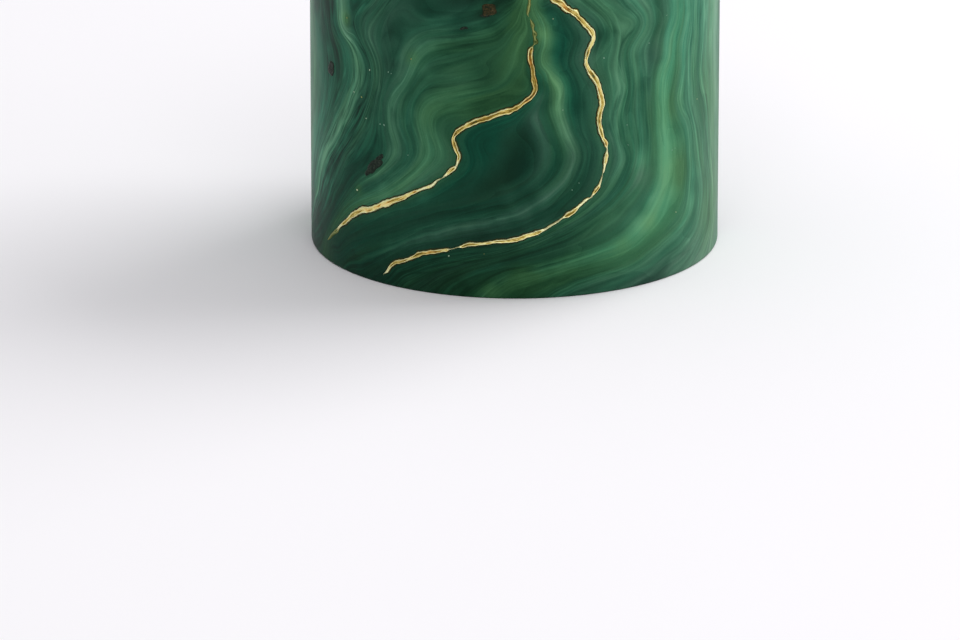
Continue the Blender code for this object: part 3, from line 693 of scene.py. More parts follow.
# Each seam's stops: bearing, climb and width in millimetres.
SEAM_ROUTES: dict[str, tuple[Stop, ...]] = {
    "gold_seam_left": (
        (6.5, 128, 1.4), (4.5, 121, 1.2), (4, 116.5, 0.7), (3.9, 114.8, 0.8), (3.7, 113, 0.8),
        (3.5, 111.4, 0.5), (4, 109.9, 0.0), (4.6, 108.2, 0.7), (4.9, 107, 1.1), (5, 105.2, 0.6),
        (5.4, 103.6, 1.3), (5.4, 102, 0.7), (5.7, 100.5, 1.3), (5.1, 99.2, 0.3), (4.4, 97.4, 1.9),
        (4.2, 95, 2.0), (4.4, 93, 1.9), (4.8, 91, 1.5), (5, 88, 1.8), (5.4, 85, 1.9),
        (5.6, 82.5, 2.0), (4.6, 79.5, 1.7),
        (2.8, 77.5, 1.6), (1, 75.5, 1.6), (-1.4, 74, 2.2), (-4, 73, 2.3), (-7.2, 71, 2.4),
        (-10.4, 69.5, 2.3), (-13.6, 67, 1.9), (-15.8, 65, 1.9), (-17, 62, 1.5),
        (-16.2, 58, 1.8), (-15.4, 55, 1.6), (-16.2, 51.5, 1.0), (-17.6, 49.5, 1.8),
        (-19.2, 47.5, 1.3), (-20.4, 46, 0.4), (-21.6, 45, 0.9), (-23.6, 42.5, 1.2),
        (-26, 41, 1.3), (-28.2, 39.5, 1.3), (-30.6, 37.5, 1.6), (-32.4, 36, 1.8),
        (-35, 34.5, 2.5), (-39.4, 31.5, 2.6), (-43.6, 28.5, 2.5), (-47.2, 27, 2.5),
        (-51.4, 23.5, 2.2), (-54.6, 20, 1.8), (-57.6, 17, 1.1), (-60, 14, 1.2),
        (-62.2, 12, 0.9), (-65, 8.5, 0.5)),
    "gold_seam_right": (
        (34, 238, 0.9), (24, 222, 1.5), (19, 208, 2.0), (16, 197, 2.2), (12, 187, 2.2),
        (4, 176, 1.8), (-2, 165, 1.6), (-2, 153, 2.0), (3, 141, 2.4), (6.5, 128, 2.2),
        (9, 121, 2.2), (10.6, 117, 2.6), (12.4, 115.5, 2.6), (14, 113, 2.3), (16.4, 111, 2.6),
        (18, 108.5, 1.9), (19.6, 106, 2.0), (21.2, 103.5, 2.3), (22, 101, 1.8), (21.2, 98, 1.8),
        (20.4, 95.5, 1.6), (19.8, 92.5, 1.4), (20.2, 89.5, 1.8), (21.8, 86, 2.4),
        (23.2, 82.5, 2.3), (24.2, 78.5, 1.9), (24.6, 74.5, 2.4), (24, 71, 1.9), (23.8, 67.5, 2.1),
        (24.4, 63.5, 1.9), (25, 61, 1.3), (25.8, 59, 1.8), (26.2, 56.5, 0.5), (26, 54, 1.4),
        (25.6, 51, 1.3), (25.2, 48, 0.6), (25, 47, 0.2), (24.6, 45.5, 0.5), (23.8, 42.5, 1.2),
        (22.6, 40.5, 1.3), (21.4, 38.5, 0.4), (20.4, 38, 0.8), (19, 36.5, 1.2), (17.6, 35, 1.3),
        (16.2, 33.5, 2.1), (14.8, 32.5, 1.9), (13.4, 31.5, 0.7), (11.8, 30, 0.7),
        (9.8, 28.5, 0.8), (8, 27, 0.9), (6, 26, 1.6), (3.4, 25, 1.5), (1.6, 24, 2.0),
        (-2, 23, 1.5), (-5.4, 22.5, 1.3), (-8.6, 21.5, 1.2), (-12.4, 21, 1.4), (-14.4, 20, 1.3),
        (-15.8, 19.5, 0.5), (-17.8, 18.5, 0.4), (-19, 18, 1.2), (-21.8, 17, 1.3),
        (-24.8, 16, 1.4), (-27, 15, 1.9), (-29, 13.5, 1.3), (-31.6, 11.5, 1.5),
        (-33.6, 10.5, 1.6), (-35.4, 9.5, 1.4), (-36.8, 7.5, 1.3), (-37.8, 5.5, 1.1),
        (-39.2, 4, 0.4)),
    "gold_seam_back": (
        (214, 236, 1.0), (206, 222, 1.7), (208, 209, 2.1), (203, 198, 2.3), (196, 188, 2.2),
        (193, 177, 2.0), (196, 165, 1.7), (201, 154, 2.0), (200, 143, 2.3), (193, 134, 2.1),
        (183, 128, 1.8), (175, 121, 2.1), (172, 111, 1.9), (175, 100, 1.5), (173, 90, 1.8),
        (166, 81, 2.3), (156, 75, 2.2), (147, 68, 1.7), (143, 59, 1.2), (137, 51, 1.8),
        (127, 45, 2.2), (118, 37, 1.6), (112, 27, 1.0)),
    "gold_seam_back_branch": (
        (200, 143, 1.6), (207, 134, 1.5), (211, 124, 1.8), (209, 112, 2.1), (213, 101, 1.8),
        (218, 90, 1.5), (216, 78, 1.9), (209, 69, 2.2), (199, 62, 1.8), (190, 54, 1.2),
        (184, 44, 1.7), (175, 36, 2.1), (164, 31, 1.6), (154, 23, 1.1), (148, 13, 0.9)),
}

# The stops at which a seam's leaf is dull, and how much paler its painted highlight is along it.
DULL_STOPS: dict[str, tuple[int, ...]] = {
    "gold_seam_left": (2, 3, 4, 5, 6, 7, 8, 9, 10, 11, 12, 13, 50, 51, 52),
    "gold_seam_back": (0, 1, 11, 12, 21, 22),
    "gold_seam_back_branch": (9, 13, 14),
}
SHINES: dict[str, tuple[float, ...]] = {
    "gold_seam_left": (0.0, -0.16, -0.18, 0.0, 0.22, 0.18, 0.0),
    "gold_seam_right": (0.0, 0.0, 0.07, 0.07, 0.05),
}


def route_stops(name: str, first: int) -> tuple[Pair, ...]:
    """The bearings and climbs of every other stop of a seam's route from one of them on."""
    return tuple(stop[:2] for stop in SEAM_ROUTES[name][first::2])


def seam_strands() -> list[Strand]:
    """Lay strands along the two front seams.

    Returns:
        The strands.
    """
    left = route_stops("gold_seam_left", 2)
    right = route_stops("gold_seam_right", 11)
    return [
        Strand(7.5, (0.48, 0.28, 0.28, 0.36, 0.18), (0.7, 0.4, 0.3), (0.4, 0.4, -0.3, 0.4),
               0.2, left),
        Strand(11.9, (0.5, 0.44, 0.5, 0.26, 0.17, 0.1, 0.05), (0, 0.2), (-0.8, -0.2, -0.4, -0.2),
               0.3, right),
    ]


def rising_strands() -> list[Strand]:
    """Lay the strands above those of the front, up to the top edge.

    Returns:
        The strands.
    """
    return [Strand(layer, tones, RISING_LEAF, RISING_TEAL, RISING_COMB,
                   tuple(zip(bearings, RISING_CLIMBS)))
            for layer, tones, bearings in RISING_STRANDS]


@dataclass(frozen=True)
class FarMarbling:
    """The strands round the back of the wall and over the top, which lead on from the front's.

    A strand's tones are random in a dark range, and every other strand's are lifted. At both
    ends of the back, within one of its meeting_parts, they turn to the meeting tone. A wave has
    a height, a length up the wall or a pace over the top, and a turn from strand to strand.
    """

    skin: Skin
    lift: float = 0.3
    wall_seed: int = 8
    wall_count: int = 27
    wall_points: int = 16
    wall_climbs: Pair = (186.0, 3.0)
    wall_layers: Pair = (18.4, 0.3)
    wall_tones: Pair = (0.10, 0.52)
    wall_tone_count: int = 5
    wall_leaf: Pair = (0.0, 0.6)
    wall_teal: Pair = (-0.2, 0.7)
    wall_comb: Pair = (0.3, 0.75)
    wall_waves: tuple[Wave, ...] = ((6.0, 21.0, 6.0), (3.2, 9.5, 14.0), (1.2, 4.6, 31.0))
    gap: float = 6.5
    meeting_tone: float = 0.65
    meeting_parts: float = 14.0
    sweep: float = 46.0
    sweep_climb: float = 95.0
    sweep_curve: float = 1.4
    top_seed: int = 12
    top_points: int = 28
    top_margin: float = 0.04
    top_layers: tuple[float, ...] = (0.9, 2.2, 3.4, 4.6, 5.8, 7.0, 8.1, 10.3, 11.5, 12.7, 13.9,
                                     15.1, 16.3, 17.5)
    top_tones: Pair = (0.12, 0.52)
    top_tone_count: int = 6
    top_leaf: Pair = (0.0, 0.3)
    top_leaf_end: float = 0.1
    top_teal: Pair = (0.0, 0.5)
    top_comb: Pair = (0.2, 0.55)
    top_waves: tuple[Wave, ...] = ((7.0, 5.2, 0.20), (3.0, 13.0, 0.45))

    @staticmethod
    def edge_bearing(layer: float, climb: np.ndarray) -> np.ndarray:
        """Follow one of the front's outermost strands from the base to the top edge.

        Args:
            layer: the strand's layer.
            climb: millimetres up the skin.

        Returns:
            The strand's bearings there.
        """
        stops = [stop for strand in FRONT_STRANDS if strand.layer == layer
                 for stop in strand.stops]
        stops += [stop for rising, _, bearings in RISING_STRANDS if rising == layer
                  for stop in zip(bearings, RISING_CLIMBS)]
        bearings, climbs = np.array(sorted(stops, key=lambda stop: stop[1])).T
        return np.interp(climb, climbs, bearings)

    def wall(self) -> list[Strand]:
        """Lay the strands of the back, from the front's right edge round to its left.

        Each is a blend of the two outermost strands of the front, with slow waves and, low on
        the wall, a sweep to one side added in the middle of the back. Their layers mirror the
        front's.

        Returns:
            The strands.
        """
        rng = np.random.default_rng(self.wall_seed)
        climb = np.linspace(*self.wall_climbs, self.wall_points)
        right = self.edge_bearing(FRONT_STRANDS[-1].layer, climb) + self.gap
        left = self.edge_bearing(FRONT_STRANDS[0].layer, climb) + 360.0 - self.gap
        low = np.maximum(1.0 - climb / self.sweep_climb, 0.0)
        layers = np.linspace(*self.wall_layers, self.wall_count)
        strands = []
        for number, share in enumerate(np.linspace(0.0, 1.0, self.wall_count)):
            middle = math.sin(math.pi * share)
            wave = sum(height * np.sin(climb / length + share * turn)
                       for height, length, turn in self.wall_waves)
            sweep = self.sweep * middle ** 2 * low ** self.sweep_curve
            bearing = right + (left - right) * share + wave * math.sqrt(middle) - sweep
            near = max(0.0, 1.0 - self.meeting_parts * min(share, 1.0 - share))
            tones = rng.uniform(*self.wall_tones, self.wall_tone_count) + number % 2 * self.lift
            tones = tones * (1 - near) + self.meeting_tone * near
            leaf = rng.uniform(*self.wall_leaf, 2) ** 2
            teal = rng.uniform(*self.wall_teal, 2)
            strands.append(Strand(layers[number], tuple(tones), tuple(leaf), tuple(teal),
                                  rng.uniform(*self.wall_comb), tuple(zip(bearing, climb))))
        return strands

    def top(self, wall: list[Strand]) -> list[Strand]:
        """Lay the strands over the top, from a front strand's upper end to the back's like it.

        A strand is the straight line between the two ends with a wave added square to it, which
        fades at the rim.

        Args:
            wall: the back's strands.

        Returns:
            The strands.
        """
        rng = np.random.default_rng(self.top_seed)
        front_ends = np.array([(layer, bearings[-1]) for layer, _, bearings in RISING_STRANDS])
        back_ends = np.array([(strand.layer, strand.stops[0][0]) for strand in reversed(wall)])
        flat = self.skin.radius - self.skin.edge_radius
        share = np.linspace(self.top_margin, 1.0 - self.top_margin, self.top_points)
        fade = np.sin(math.pi * share)
        strands = []
        for number, layer in enumerate(self.top_layers):
            ends = np.radians([np.interp(layer, *front_ends.T), np.interp(layer, *back_ends.T)])
            start, end = flat * np.stack([np.sin(ends), -np.cos(ends)], -1)
            square = np.array([end[1] - start[1], start[0] - end[0]])
            square /= np.linalg.norm(end - start)
            wave = fade * sum(height * np.sin(pace * share + layer * turn)
                              for height, pace, turn in self.top_waves)
            line = start + (end - start) * share[:, None] + square * wave[:, None]
            bearing = np.degrees(np.unwrap(np.arctan2(line[:, 0], -line[:, 1])))
            climb = self.skin.rim + flat - np.hypot(line[:, 0], line[:, 1])
            tones = rng.uniform(*self.top_tones, self.top_tone_count) + number % 2 * self.lift
            leaf = (rng.uniform(*self.top_leaf), self.top_leaf_end)
            teal = rng.uniform(*self.top_teal, 2)
            strands.append(Strand(layer, tuple(tones), leaf, tuple(teal),
                                  rng.uniform(*self.top_comb), tuple(zip(bearing, climb))))
        return strands


class Marbling:
    """How the marbling runs over the skin."""

    FIELDS = ("flow", "tone", "leaf", "teal", "comb")
    SPACING = 5.0
    SOFTENING = 2e-5
    CHUNK = 4000
    UNIT = 100.0
    MOST_COMB = 1.4

    def __init__(self, skin: Skin, strands: list[Strand], blooms: tuple[Bloom, ...]) -> None:
        """Fit smooth fields to the strands.

        Each field is a sum of the cubes of the distances to the strands' points, each with its
        own weight, plus a linear part. The weights make it equal what each strand says along
        that strand.

        Args:
            skin: the cake's surface.
            strands: the lines to follow.
            blooms: patches that are added to the fields.
        """
        self.blooms = blooms
        self.bloom_points = skin.points([b.bearing for b in blooms], [b.climb for b in blooms])
        points, rows = [], []
        for strand in strands:
            path = smooth_path(np.array(strand.stops, dtype=float), skin, self.SPACING)
            points.append(skin.points(path[:, 0], path[:, 1]))
            rows.append(strand.rows(np.linspace(0.0, 1.0, len(path))))
        self.centres = np.vstack(points) / self.UNIT
        count = len(self.centres)
        linear = np.hstack([np.ones((count, 1)), self.centres])
        size = count + linear.shape[1]
        system = np.zeros((size, size))
        system[:count, :count] = self._distances(self.centres) ** 3
        system[:count, :count] += np.eye(count) * self.SOFTENING
        system[:count, count:] = linear
        system[count:, :count] = linear.T
        target = np.zeros((size, len(self.FIELDS)))
        target[:count] = np.vstack(rows)
        self.weights = np.linalg.solve(system, target)
        LOG.info("marbling: %d strands, %d points", len(strands), count)

    def _distances(self, points: np.ndarray) -> np.ndarray:
        """Measure from points to the strands' points.

        Args:
            points: places, in the fields' unit.

        Returns:
            The distance of each point to each centre.
        """
        squared = ((points ** 2).sum(-1)[:, None] + (self.centres ** 2).sum(-1)[None, :]
                   - 2.0 * points @ self.centres.T)
        return np.sqrt(np.maximum(squared, 0.0))

    def at(self, points: np.ndarray) -> dict[str, np.ndarray]:
        """Read the fields.

        Args:
            points: places on the skin, in millimetres.

        Returns:
            Each field's values by its name.
        """
        rows = []
        for start in range(0, len(points), self.CHUNK):
            near = points[start:start + self.CHUNK] / self.UNIT
            basis = np.hstack([self._distances(near) ** 3, np.ones((len(near), 1)), near])
            rows.append(basis @ self.weights)
        fields = dict(zip(self.FIELDS, np.vstack(rows).T))
        for bloom, centre in zip(self.blooms, self.bloom_points):
            swell = np.exp(-((points - centre) ** 2).sum(-1) / bloom.reach ** 2)
            for name in self.FIELDS[1:]:
                fields[name] = fields[name] + getattr(bloom, name) * swell
        fields["comb"] = np.clip(fields["comb"], 0.0, self.MOST_COMB)
        return fields


# ---------------------------------------------------------------------------------------------
# Meshes
# ---------------------------------------------------------------------------------------------


def tube_faces(rows: int, columns: int) -> Faces:
    """Faces of a closed tube of vertex rings, with a single vertex at each end after them.

    Args:
        rows: how many rings.
        columns: how many vertices in a ring.

    Returns:
        Vertex numbers of each face.
    """
    row, column = np.meshgrid(np.arange(rows - 1), np.arange(columns), indexing="ij")
    following = (column + 1) % columns
    corners = [row * columns + column, row * columns + following,
               (row + 1) * columns + following, (row + 1) * columns + column]
    ring = np.arange(columns)
    after = (ring + 1) % columns
    last_row = (rows - 1) * columns
    start, end = np.full(columns, rows * columns), np.full(columns, rows * columns + 1)
    return (np.stack(corners, -1).reshape(-1, 4).tolist()
            + np.stack([after, ring, start], -1).tolist()
            + np.stack([last_row + ring, last_row + after, end], -1).tolist())


def make_piece(name: str, vertices: np.ndarray, faces: Faces, slot: Slot,
               material: bpy.types.Material, **fields: np.ndarray) -> bpy.types.Object:
    """Make a mesh object that stands for the cake's skin or for something on it.

    Args:
        name: the object's name.
        vertices: places in millimetres.
        faces: vertex numbers of each face, turned outwards.
        slot: the record's slot that its finish belongs to; not used.
        material: its finish.
        **fields: numbers that the finish reads at each vertex.

    Returns:
        The object, riding on the cake's body.
    """
    mesh = bpy.data.meshes.new(name)
    mesh.from_pydata((vertices * MM).tolist(), [], faces)
    mesh.materials.append(material)
    for label, numbers in fields.items():
        layer = mesh.attributes.new(label, "FLOAT", "POINT")
        layer.data.foreach_set("value", numbers.astype(np.float32))
    mesh.shade_smooth()
    piece = bpy.data.objects.new(name, mesh)
    bpy.context.scene.collection.objects.link(piece)
    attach(piece, CAKE_BODY)
    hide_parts(CAKE_NODE)
    LOG.info("%s: %d vertices, %d faces", name, len(mesh.vertices), len(mesh.polygons))
    return piece


class Crumple:
    """Folds in leaf: random heights on a lattice, blended between its points by a smooth step."""

    SIZE = 64
    SHIFT = 7

    def __init__(self, rng: np.random.Generator, along: float, across: float = 1.0) -> None:
        """Draw the lattice.

        Args:
            rng: the source of the draw.
            along: the lattice's spacing along the leaf.
            across: its spacing across.
        """
        self.heights = rng.random((self.SIZE, self.SIZE))
        self.along = along
        self.across = across

    def at(self, along: np.ndarray, across: np.ndarray | float = 0.0) -> np.ndarray:
        """Read the heights on the leaf; the lattice repeats, shifted each time.

        Args:
            along: millimetres along the leaf.
            across: millimetres across it.

        Returns:
            The heights there, from 0 to 1.
        """
        u, v = np.broadcast_arrays(along / self.along, across / self.across)
        i, j = np.floor(u).astype(int), np.floor(v).astype(int)
        s, t = u - i, v - j
        s, t = s * s * (3.0 - 2.0 * s), t * t * (3.0 - 2.0 * t)
        shift = i // self.SIZE * self.SHIFT
        near, far = (self.heights[(i + a) % self.SIZE, (j + shift) % self.SIZE] * (1.0 - t)
                     + self.heights[(i + a) % self.SIZE, (j + 1 + shift) % self.SIZE] * t
                     for a in (0, 1))
        return near * (1.0 - s) + far * s


@dataclass(frozen=True)
class Wander:
    """A number that wanders along a strip of leaf between two values, on a lattice's spacing."""

    spacing: float
    low: float
    high: float

    def along(self, rng: np.random.Generator, length: np.ndarray) -> np.ndarray:
        """The number at millimetres along the strip, by a lattice drawn for it."""
        return self.low + (self.high - self.low) * Crumple(rng, self.spacing).at(length)


# ---------------------------------------------------------------------------------------------
# Finishes
# ---------------------------------------------------------------------------------------------


@dataclass(frozen=True)
class Grain:
    """A noise over a piece.

    scale is its features to a metre, detail and roughness its finer layers. Along the marbling's
    flow it changes by pull features a layer, from shift on. With a sharpness it becomes ridges:
    1 less the noise's size times the sharpness. strength is how much of it shows, and combed how
    much more where the paste is combed.
    """

    scale: float
    strength: float = 1.0
    detail: float = 2.0
    roughness: float = 0.5
    pull: float = 0.0
    shift: float = 0.0
    sharpness: float = 0.0
    combed: float = 0.0

    def noise(self, nodes: NodeMaker, flow: Value | float = 0.0) -> Value:
        """Lay the noise over a piece, at full strength.

        Args:
            nodes: the maker of the material's nodes.
            flow: the marbling's layer at each place.

        Returns:
            The noise, about 0, or its ridges, from 0 to 1.
        """
        noise = nodes.noise(self.scale, self.detail, self.roughness, flow * self.pull + self.shift)
        if self.sharpness:
            return (1.0 - abs(noise) * self.sharpness).clamped()
        return noise

    def shown(self, nodes: NodeMaker, flow: Value | float = 0.0) -> Value:
        """The noise at its strength."""
        return self.noise(nodes, flow) * self.strength


@dataclass(frozen=True)
class MarbledPaste:
    """Satin sugar paste, marbled from deep to pale green.

    greens are the green parts of its colours, from the darkest tone to the palest. plain, leafy,
    teal and ashen_and_sheen give the red parts and the blue parts that go with them; the greys of
    ashen_and_sheen are partly the paste's own and partly painted sheen, low on the right edge. A
    thread is a line along the flow: the layer it lies at, its reach there and how much paler it
    is.
    """

    greens: tuple[float, ...] = (0.026, 0.056, 0.1, 0.159, 0.234, 0.328)
    plain: Tints = (
        (0.003, 0.0085, 0.021, 0.043, 0.072, 0.125),
        (0.0136, 0.031, 0.056, 0.09, 0.133, 0.195),
    )
    leafy: Tints = (
        (0.004, 0.011, 0.027, 0.05, 0.082, 0.135),
        (0.0085, 0.02, 0.037, 0.063, 0.097, 0.142),
    )
    teal: Tints = (
        (0.0008, 0.0026, 0.008, 0.017, 0.034, 0.068),
        (0.014, 0.031, 0.055, 0.088, 0.132, 0.192),
    )
    # Greys, partly the paste's own and partly painted sheen low on the right edge.
    ashen_and_sheen: Tints = (
        (0.0065, 0.016, 0.036, 0.068, 0.115, 0.19),
        (0.0155, 0.036, 0.065, 0.104, 0.155, 0.225),
    )
    threads: tuple[tuple[float, float, float], ...] = (
        (1.15, 0.10, -0.10), (1.35, 0.08, 0.08), (1.70, 0.07, 0.09), (2.25, 0.07, -0.09),
        (2.40, 0.10, 0.10), (2.72, 0.09, -0.06), (3.10, 0.06, 0.07), (3.42, 0.08, 0.12),
        (4.82, 0.13, 0.09), (5.20, 0.14, -0.05), (6.42, 0.16, 0.07),
        (10.20, 0.06, 0.03), (10.62, 0.15, 0.13), (12.52, 0.09, 0.08), (12.66, 0.06, 0.07),
        (13.50, 0.09, 0.06), (13.72, 0.10, -0.08), (13.97, 0.05, 0.08), (14.30, 0.12, -0.07),
        (14.76, 0.09, 0.08), (15.16, 0.05, 0.07),
        (15.92, 0.07, 0.14), (16.06, 0.05, 0.08), (16.22, 0.06, -0.09), (16.46, 0.06, 0.15),
        (16.86, 0.08, 0.07), (17.30, 0.12, -0.07), (17.57, 0.06, 0.17), (17.95, 0.10, -0.05),
    )
    thread_fade: Grain = Grain(45.0, 2.4, detail=1.0, pull=1.5, shift=30.0)
    drift: Grain = Grain(45.0, 0.13)
    patches: Grain = Grain(24.0, 3.2, detail=1.0, pull=2.0)
    combing: tuple[Grain, ...] = (
        Grain(42.0, 0.17, roughness=0.55, pull=4.0, combed=0.70),
        Grain(52.0, 0.03, roughness=0.55, pull=9.0, combed=0.52),
        Grain(70.0, 0.0, detail=1.0, pull=20.0, combed=0.18),
        Grain(30.0, 0.0, detail=1.0, pull=5.5, combed=0.16, sharpness=17.0),
        Grain(34.0, 0.0, detail=1.0, pull=3.7, combed=-0.16, sharpness=21.0, shift=60.0),
    )
    bands: Grain = Grain(18.0, 5.0, pull=0.7)
    band_pace: float = 1.3
    band_strength: float = 0.07
    mottle: Grain = Grain(230.0, 0.08)
    speckle: Grain = Grain(1500.0, 0.08, detail=1.0)
    leaf_drift: Grain = Grain(32.0, 1.2, pull=2.0)
    teal_drift: Grain = Grain(26.0, 1.7, roughness=0.6, pull=4.0, shift=40.0)
    relief: Grain = Grain(70.0, detail=3.0)
    relief_speckle: float = 0.05
    relief_depth: float = 0.0003
    roughness: float = 0.40
    roughness_mottle: float = 0.12
    specular: float = 0.06

    def stops(self, tints: Tints) -> Ramp:
        """The stops, evenly spaced, of one of the four ramps."""
        places = np.linspace(0.0, 1.0, len(self.greens)).tolist()
        return tuple(zip(places, zip(tints[0], self.greens, tints[1])))

    def tone(self, nodes: NodeMaker, flow: Value, fine: Value) -> Value:
        """Work out how pale the paste is.

        What the strands say is joined by the combing, by bands that rise and fall off like a
        saw's teeth along the flow, and by the threads.

        Args:
            nodes: the maker of the material's nodes.
            flow: the marbling's layer at each place.
            fine: mottle and speckle.

        Returns:
            The tone, from 0 to 1.
        """
        tone = nodes.attribute("tone") + fine
        busy = nodes.attribute("comb") * (self.patches.shown(nodes, flow) + 1.0).clamped()
        for grain in self.combing:
            tone = tone + grain.noise(nodes, flow) * (busy * grain.combed + grain.strength)
        teeth = (flow * self.band_pace + self.bands.shown(nodes, flow)).fraction() - 0.5
        tone = tone + teeth * self.band_strength
        fade = self.thread_fade.shown(nodes, flow) + 1.0
        for layer, reach, strength in self.threads:
            tone = tone + flow.pulse(layer, reach) * fade * strength
        return tone

    def material(self) -> bpy.types.Material:
        """Build the finish.

        Returns:
            The material.
        """
        nodes = NodeMaker("marbled_paste")
        flow = nodes.attribute("flow") + self.drift.shown(nodes)
        mottle, speckle = self.mottle.noise(nodes), self.speckle.noise(nodes)
        fine = mottle * self.mottle.strength + speckle * self.speckle.strength
        tone = self.tone(nodes, flow, fine)
        leaf = nodes.attribute("leaf") + self.leaf_drift.shown(nodes, flow)
        teal = nodes.attribute("teal") + self.teal_drift.shown(nodes, flow)
        colour = nodes.ramp(tone, self.stops(self.plain))
        colour = nodes.mix(teal.clamped(), colour, nodes.ramp(tone, self.stops(self.teal)))
        # Grey where teal is below 0: partly the paste's own, partly painted sheen on the right
        # edge.
        colour = nodes.mix((0.0 - teal).clamped(), colour,
                           nodes.ramp(tone, self.stops(self.ashen_and_sheen)))
        colour = nodes.mix(leaf.clamped(), colour, nodes.ramp(tone, self.stops(self.leafy)))
        relief = self.relief.noise(nodes) + speckle * self.relief_speckle
        return nodes.finish(
            Base_Color=colour,
            Roughness=self.roughness + mottle * self.roughness_mottle,
            Specular_IOR_Level=self.specular,
            Normal=nodes.bump(relief, self.relief_depth),
        )


@dataclass(frozen=True)
class GoldLeaf:
    """Crinkled gold leaf: straw pale on its ridges, a painted highlight, tan down in each crease,
    painted shade, and olive along its edge, partly painted shadow beside the raised leaf.

    fold_highlights and embers are clean leaf, film is leaf so thin that the paste shows through;
    all of these, rust and char run from painted shade down in a crease to a painted highlight on
    a ridge. Each pair of numbers is a smooth step: where a change starts and where it is complete.
    """

    fold_highlights: Ramp = (
        (0.00, (0.230, 0.150, 0.022)),
        (0.30, (0.560, 0.420, 0.105)),
        (0.60, (0.900, 0.780, 0.310)),
        (0.90, (1.000, 0.980, 0.560)),
    )
    embers: Ramp = (
        (0.00, (0.230, 0.085, 0.012)),
        (0.30, (0.600, 0.310, 0.060)),
        (0.60, (0.920, 0.680, 0.250)),
        (0.90, (1.000, 0.940, 0.480)),
    )
    film: Ramp = (
        (0.00, (0.045, 0.075, 0.014)),
        (0.50, (0.160, 0.205, 0.058)),
        (1.00, (0.330, 0.350, 0.120)),
    )
    rust: Ramp = (
        (0.00, (0.006, 0.015, 0.005)),
        (0.35, (0.024, 0.021, 0.006)),
        (0.70, (0.050, 0.036, 0.012)),
        (1.00, (0.110, 0.090, 0.050)),
    )
    char: Ramp = (
        (0.00, (0.005, 0.013, 0.007)),
        (0.50, (0.013, 0.023, 0.015)),
        (1.00, (0.036, 0.050, 0.034)),
    )
    # Dark olive rim: partly the leaf's own edge, partly painted shadow beside the raised leaf.
    edge: tuple[float, ...] = (0.024, 0.027, 0.004, 1.0)
    dust: tuple[float, ...] = (0.200, 0.360, 0.260, 1.0)
    metallic: float = 0.75
    roughness: float = 0.32
    crease_roughness: float = 0.2
    specular: float = 0.10
    relief_depth: float = 0.0001
    wear: Grain = Grain(380.0, 0.9, roughness=0.6)
    highlight_speckle: Grain = Grain(900.0, 0.22, roughness=0.6)
    warmth: Grain = Grain(150.0, detail=1.0)
    relief: Grain = Grain(1500.0, roughness=0.6)
    rim_and_shadow_step: Pair = (0.25, 0.75)
    warm_step: Pair = (0.03, 0.16)
    thin_step: Pair = (0.02, 0.13)
    rust_step: Pair = (0.2, 0.45)
    char_step: Pair = (0.6, 0.85)

    def material(self) -> bpy.types.Material:
        """Build the finish.

        The attribute shade is -1 for dust, 0 for clean leaf, 0.15 for film, 0.5 for rust and 1
        for char.

        Returns:
            The material.
        """
        nodes = NodeMaker("gold_leaf")
        even = nodes.attribute("shade")
        shade = even + self.wear.shown(nodes) * even.clamped()
        # Painted highlight: pale where the leaf is raised, painted shade down in each crease.
        fold = nodes.attribute("fold") + self.highlight_speckle.shown(nodes)
        # The mask of the dark rim, which is partly painted shadow beside the raised leaf.
        rim_and_shadow = nodes.attribute("edge").step(*self.rim_and_shadow_step)
        warm = self.warmth.noise(nodes).step(*self.warm_step)
        thin, pale = even.step(*self.thin_step), (even * -1.0).clamped()
        colour = nodes.mix(warm, nodes.ramp(fold, self.fold_highlights), nodes.ramp(fold, self.embers))
        colour = nodes.mix(rim_and_shadow, colour, self.edge)
        colour = nodes.mix(thin, colour, nodes.ramp(fold, self.film))
        colour = nodes.mix(shade.step(*self.rust_step), colour, nodes.ramp(fold, self.rust))
        colour = nodes.mix(shade.step(*self.char_step), colour, nodes.ramp(fold, self.char))
        colour = nodes.mix(pale, colour, self.dust)
        return nodes.finish(
            Base_Color=colour,
            Metallic=(1.0 - (rim_and_shadow + thin + pale).clamped()) * self.metallic,
            Roughness=self.roughness + (1.0 - fold).clamped() * self.crease_roughness,
            Specular_IOR_Level=self.specular,
            Normal=nodes.bump(self.relief.noise(nodes), self.relief_depth),
        )


# ---------------------------------------------------------------------------------------------
# The cake's pieces
# ---------------------------------------------------------------------------------------------


